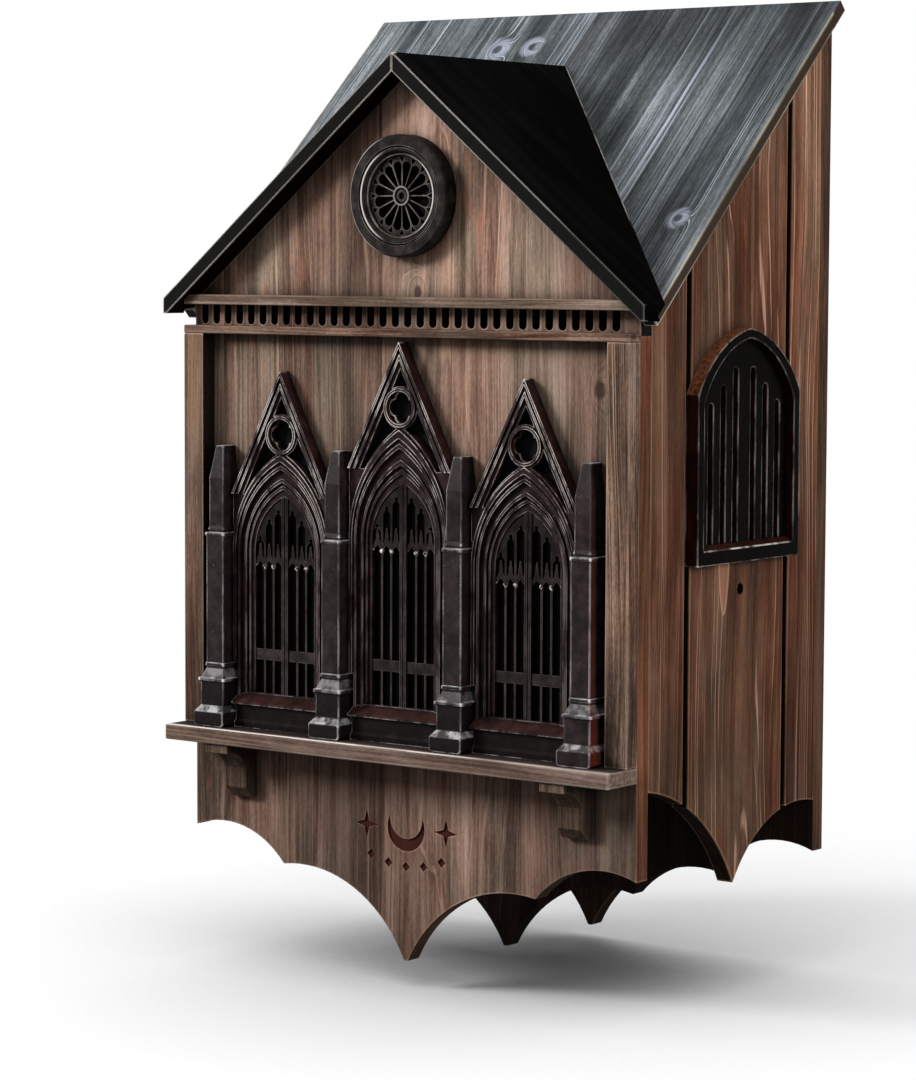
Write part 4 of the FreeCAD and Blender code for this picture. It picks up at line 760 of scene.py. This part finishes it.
# ---------------------------------------------------------------- side louvres
# Gloss black castings set flat on the side boards, with grooves for slats. The spray
# missed parts of their top, sill and front edge.
louvre_resin, tree, colour, shader = cast_resin(
    "gloss black resin, louvres", ("#020101", "#030201", "#070503"), ("#2c1009", "#6e3a24"),
    (0, 0.22, 0.75), "#d6cec9", 0.3, gloss=0.01, reach=0.0014, least=0.1, cover=0.85, lumps=0.25,
    depth=(0.001, 0.0), dotted=0.0)
place = add(tree, "TexCoord", out="Object")
_, y, z = add(tree, "SeparateXYZ", {0: place}).node.outputs
face_up = add(tree, "SeparateXYZ", {0: add(tree, "TexCoord", out="Normal")}, out=2)
face_up = add(tree, "MapRange", {0: face_up, 1: 0.3, 2: 0.5})
grit = add(tree, "TexNoise", {"Vector": place, "Scale": 1000 / 2.5, "Detail": 5, "Roughness": 0.75})
grit = add(tree, "MapRange", {0: grit, 1: 0.38, 2: 0.62, 3: 0.1, 4: 0.7})
worn_through = add(tree, "Mapping", {"Vector": place, "Scale": (1, 1000 / 16, 1)})
worn_through = add(tree, "TexNoise", {"Vector": worn_through, "Scale": 1, "Detail": 2})
worn_through = add(tree, "MapRange", {0: worn_through, 1: 0.46, 2: 0.56, 3: 0.05, 4: 0.95})
# The arch's outside is gritty and lighter, partly painted light from above left; the sill is
# darker, painted shade; its front edge is rubbed bright
arch_z, sill_top, sill_nose, sill_y, half_sill = -0.150, -0.2285, -0.2318, -0.0925, 0.0435
arch = add(tree, "Math", {0: z, 1: arch_z}, operation="GREATER_THAN")
sill = add(tree, "Math", {0: z, 1: sill_top}, operation="LESS_THAN")
sill_shade = add(tree, "Math", {0: sill, 1: 0.6}, operation="MULTIPLY")
off_nose, off_centre = (
    add(tree, "Math", {0: add(tree, "Math", {0: value, 1: -centre}, operation="ADD")},
        operation="ABSOLUTE")
    for value, centre in ((z, sill_nose), (y, sill_y)))
sill_edge = add(tree, "MapRange", {0: off_nose, 1: 0.0005, 2: 0.0002})
across_sill = add(tree, "Math", {0: off_centre, 1: half_sill}, operation="LESS_THAN")
for first, second, third, tint in (
        (arch, grit, face_up, "#9a6244"), (sill_shade, 1.0, face_up, "#0d0504"),
        (sill_edge, across_sill, worn_through, "#d6cec9")):
    mask = add(tree, "Math", {0: first, 1: second}, operation="MULTIPLY")
    mask = add(tree, "Math", {0: mask, 1: third}, operation="MULTIPLY")
    colour = add(tree, "Mix", {0: mask, 6: colour, 7: tint}, out=2, data_type="RGBA")
tree.links.new(colour, shader.inputs["Base Color"])
for name in ("left_louvre", "right_louvre"):
    finish_with(name, louvre_resin, 0.3)

# ---------------------------------------------------------------- hangers and screws
# Zinc-plated steel keyhole plates on the back. The screws in the sides are blackened steel.
def plated_steel(name, dark, light, coating):
    """Plated steel with the cloudy tone of its coating, whose other values are in coating."""
    made, tree = blank(name)
    place = add(tree, "TexCoord", out="Object")
    cloud = add(tree, "TexNoise", {"Vector": place, "Scale": 1000 / 3, "Detail": 4})
    tint = add(tree, "Mix", {0: cloud, 6: dark, 7: light}, out=2, data_type="RGBA")
    dull = add(tree, "MapRange", {0: cloud, 1: 0.3, 2: 0.7, 3: 0.3, 4: 0.5})
    shader = add(tree, "BsdfPrincipled", {"Base Color": tint, "Roughness": dull, **coating})
    add(tree, "OutputMaterial", {0: shader})
    return made


zinc = plated_steel("zinc plated steel", "#8d8f90", "#bfc0be", {"Metallic": 1.0})
blackened = plated_steel("black oxide on steel", "#020101", "#060403",
                         {"IOR": 1.5, "Specular IOR Level": 0.0})
for name in ("left_hanger", "right_hanger", "hanger_screws"):
    finish_with(name, zinc, 0)
finish_with("side_screws", blackened, 0)
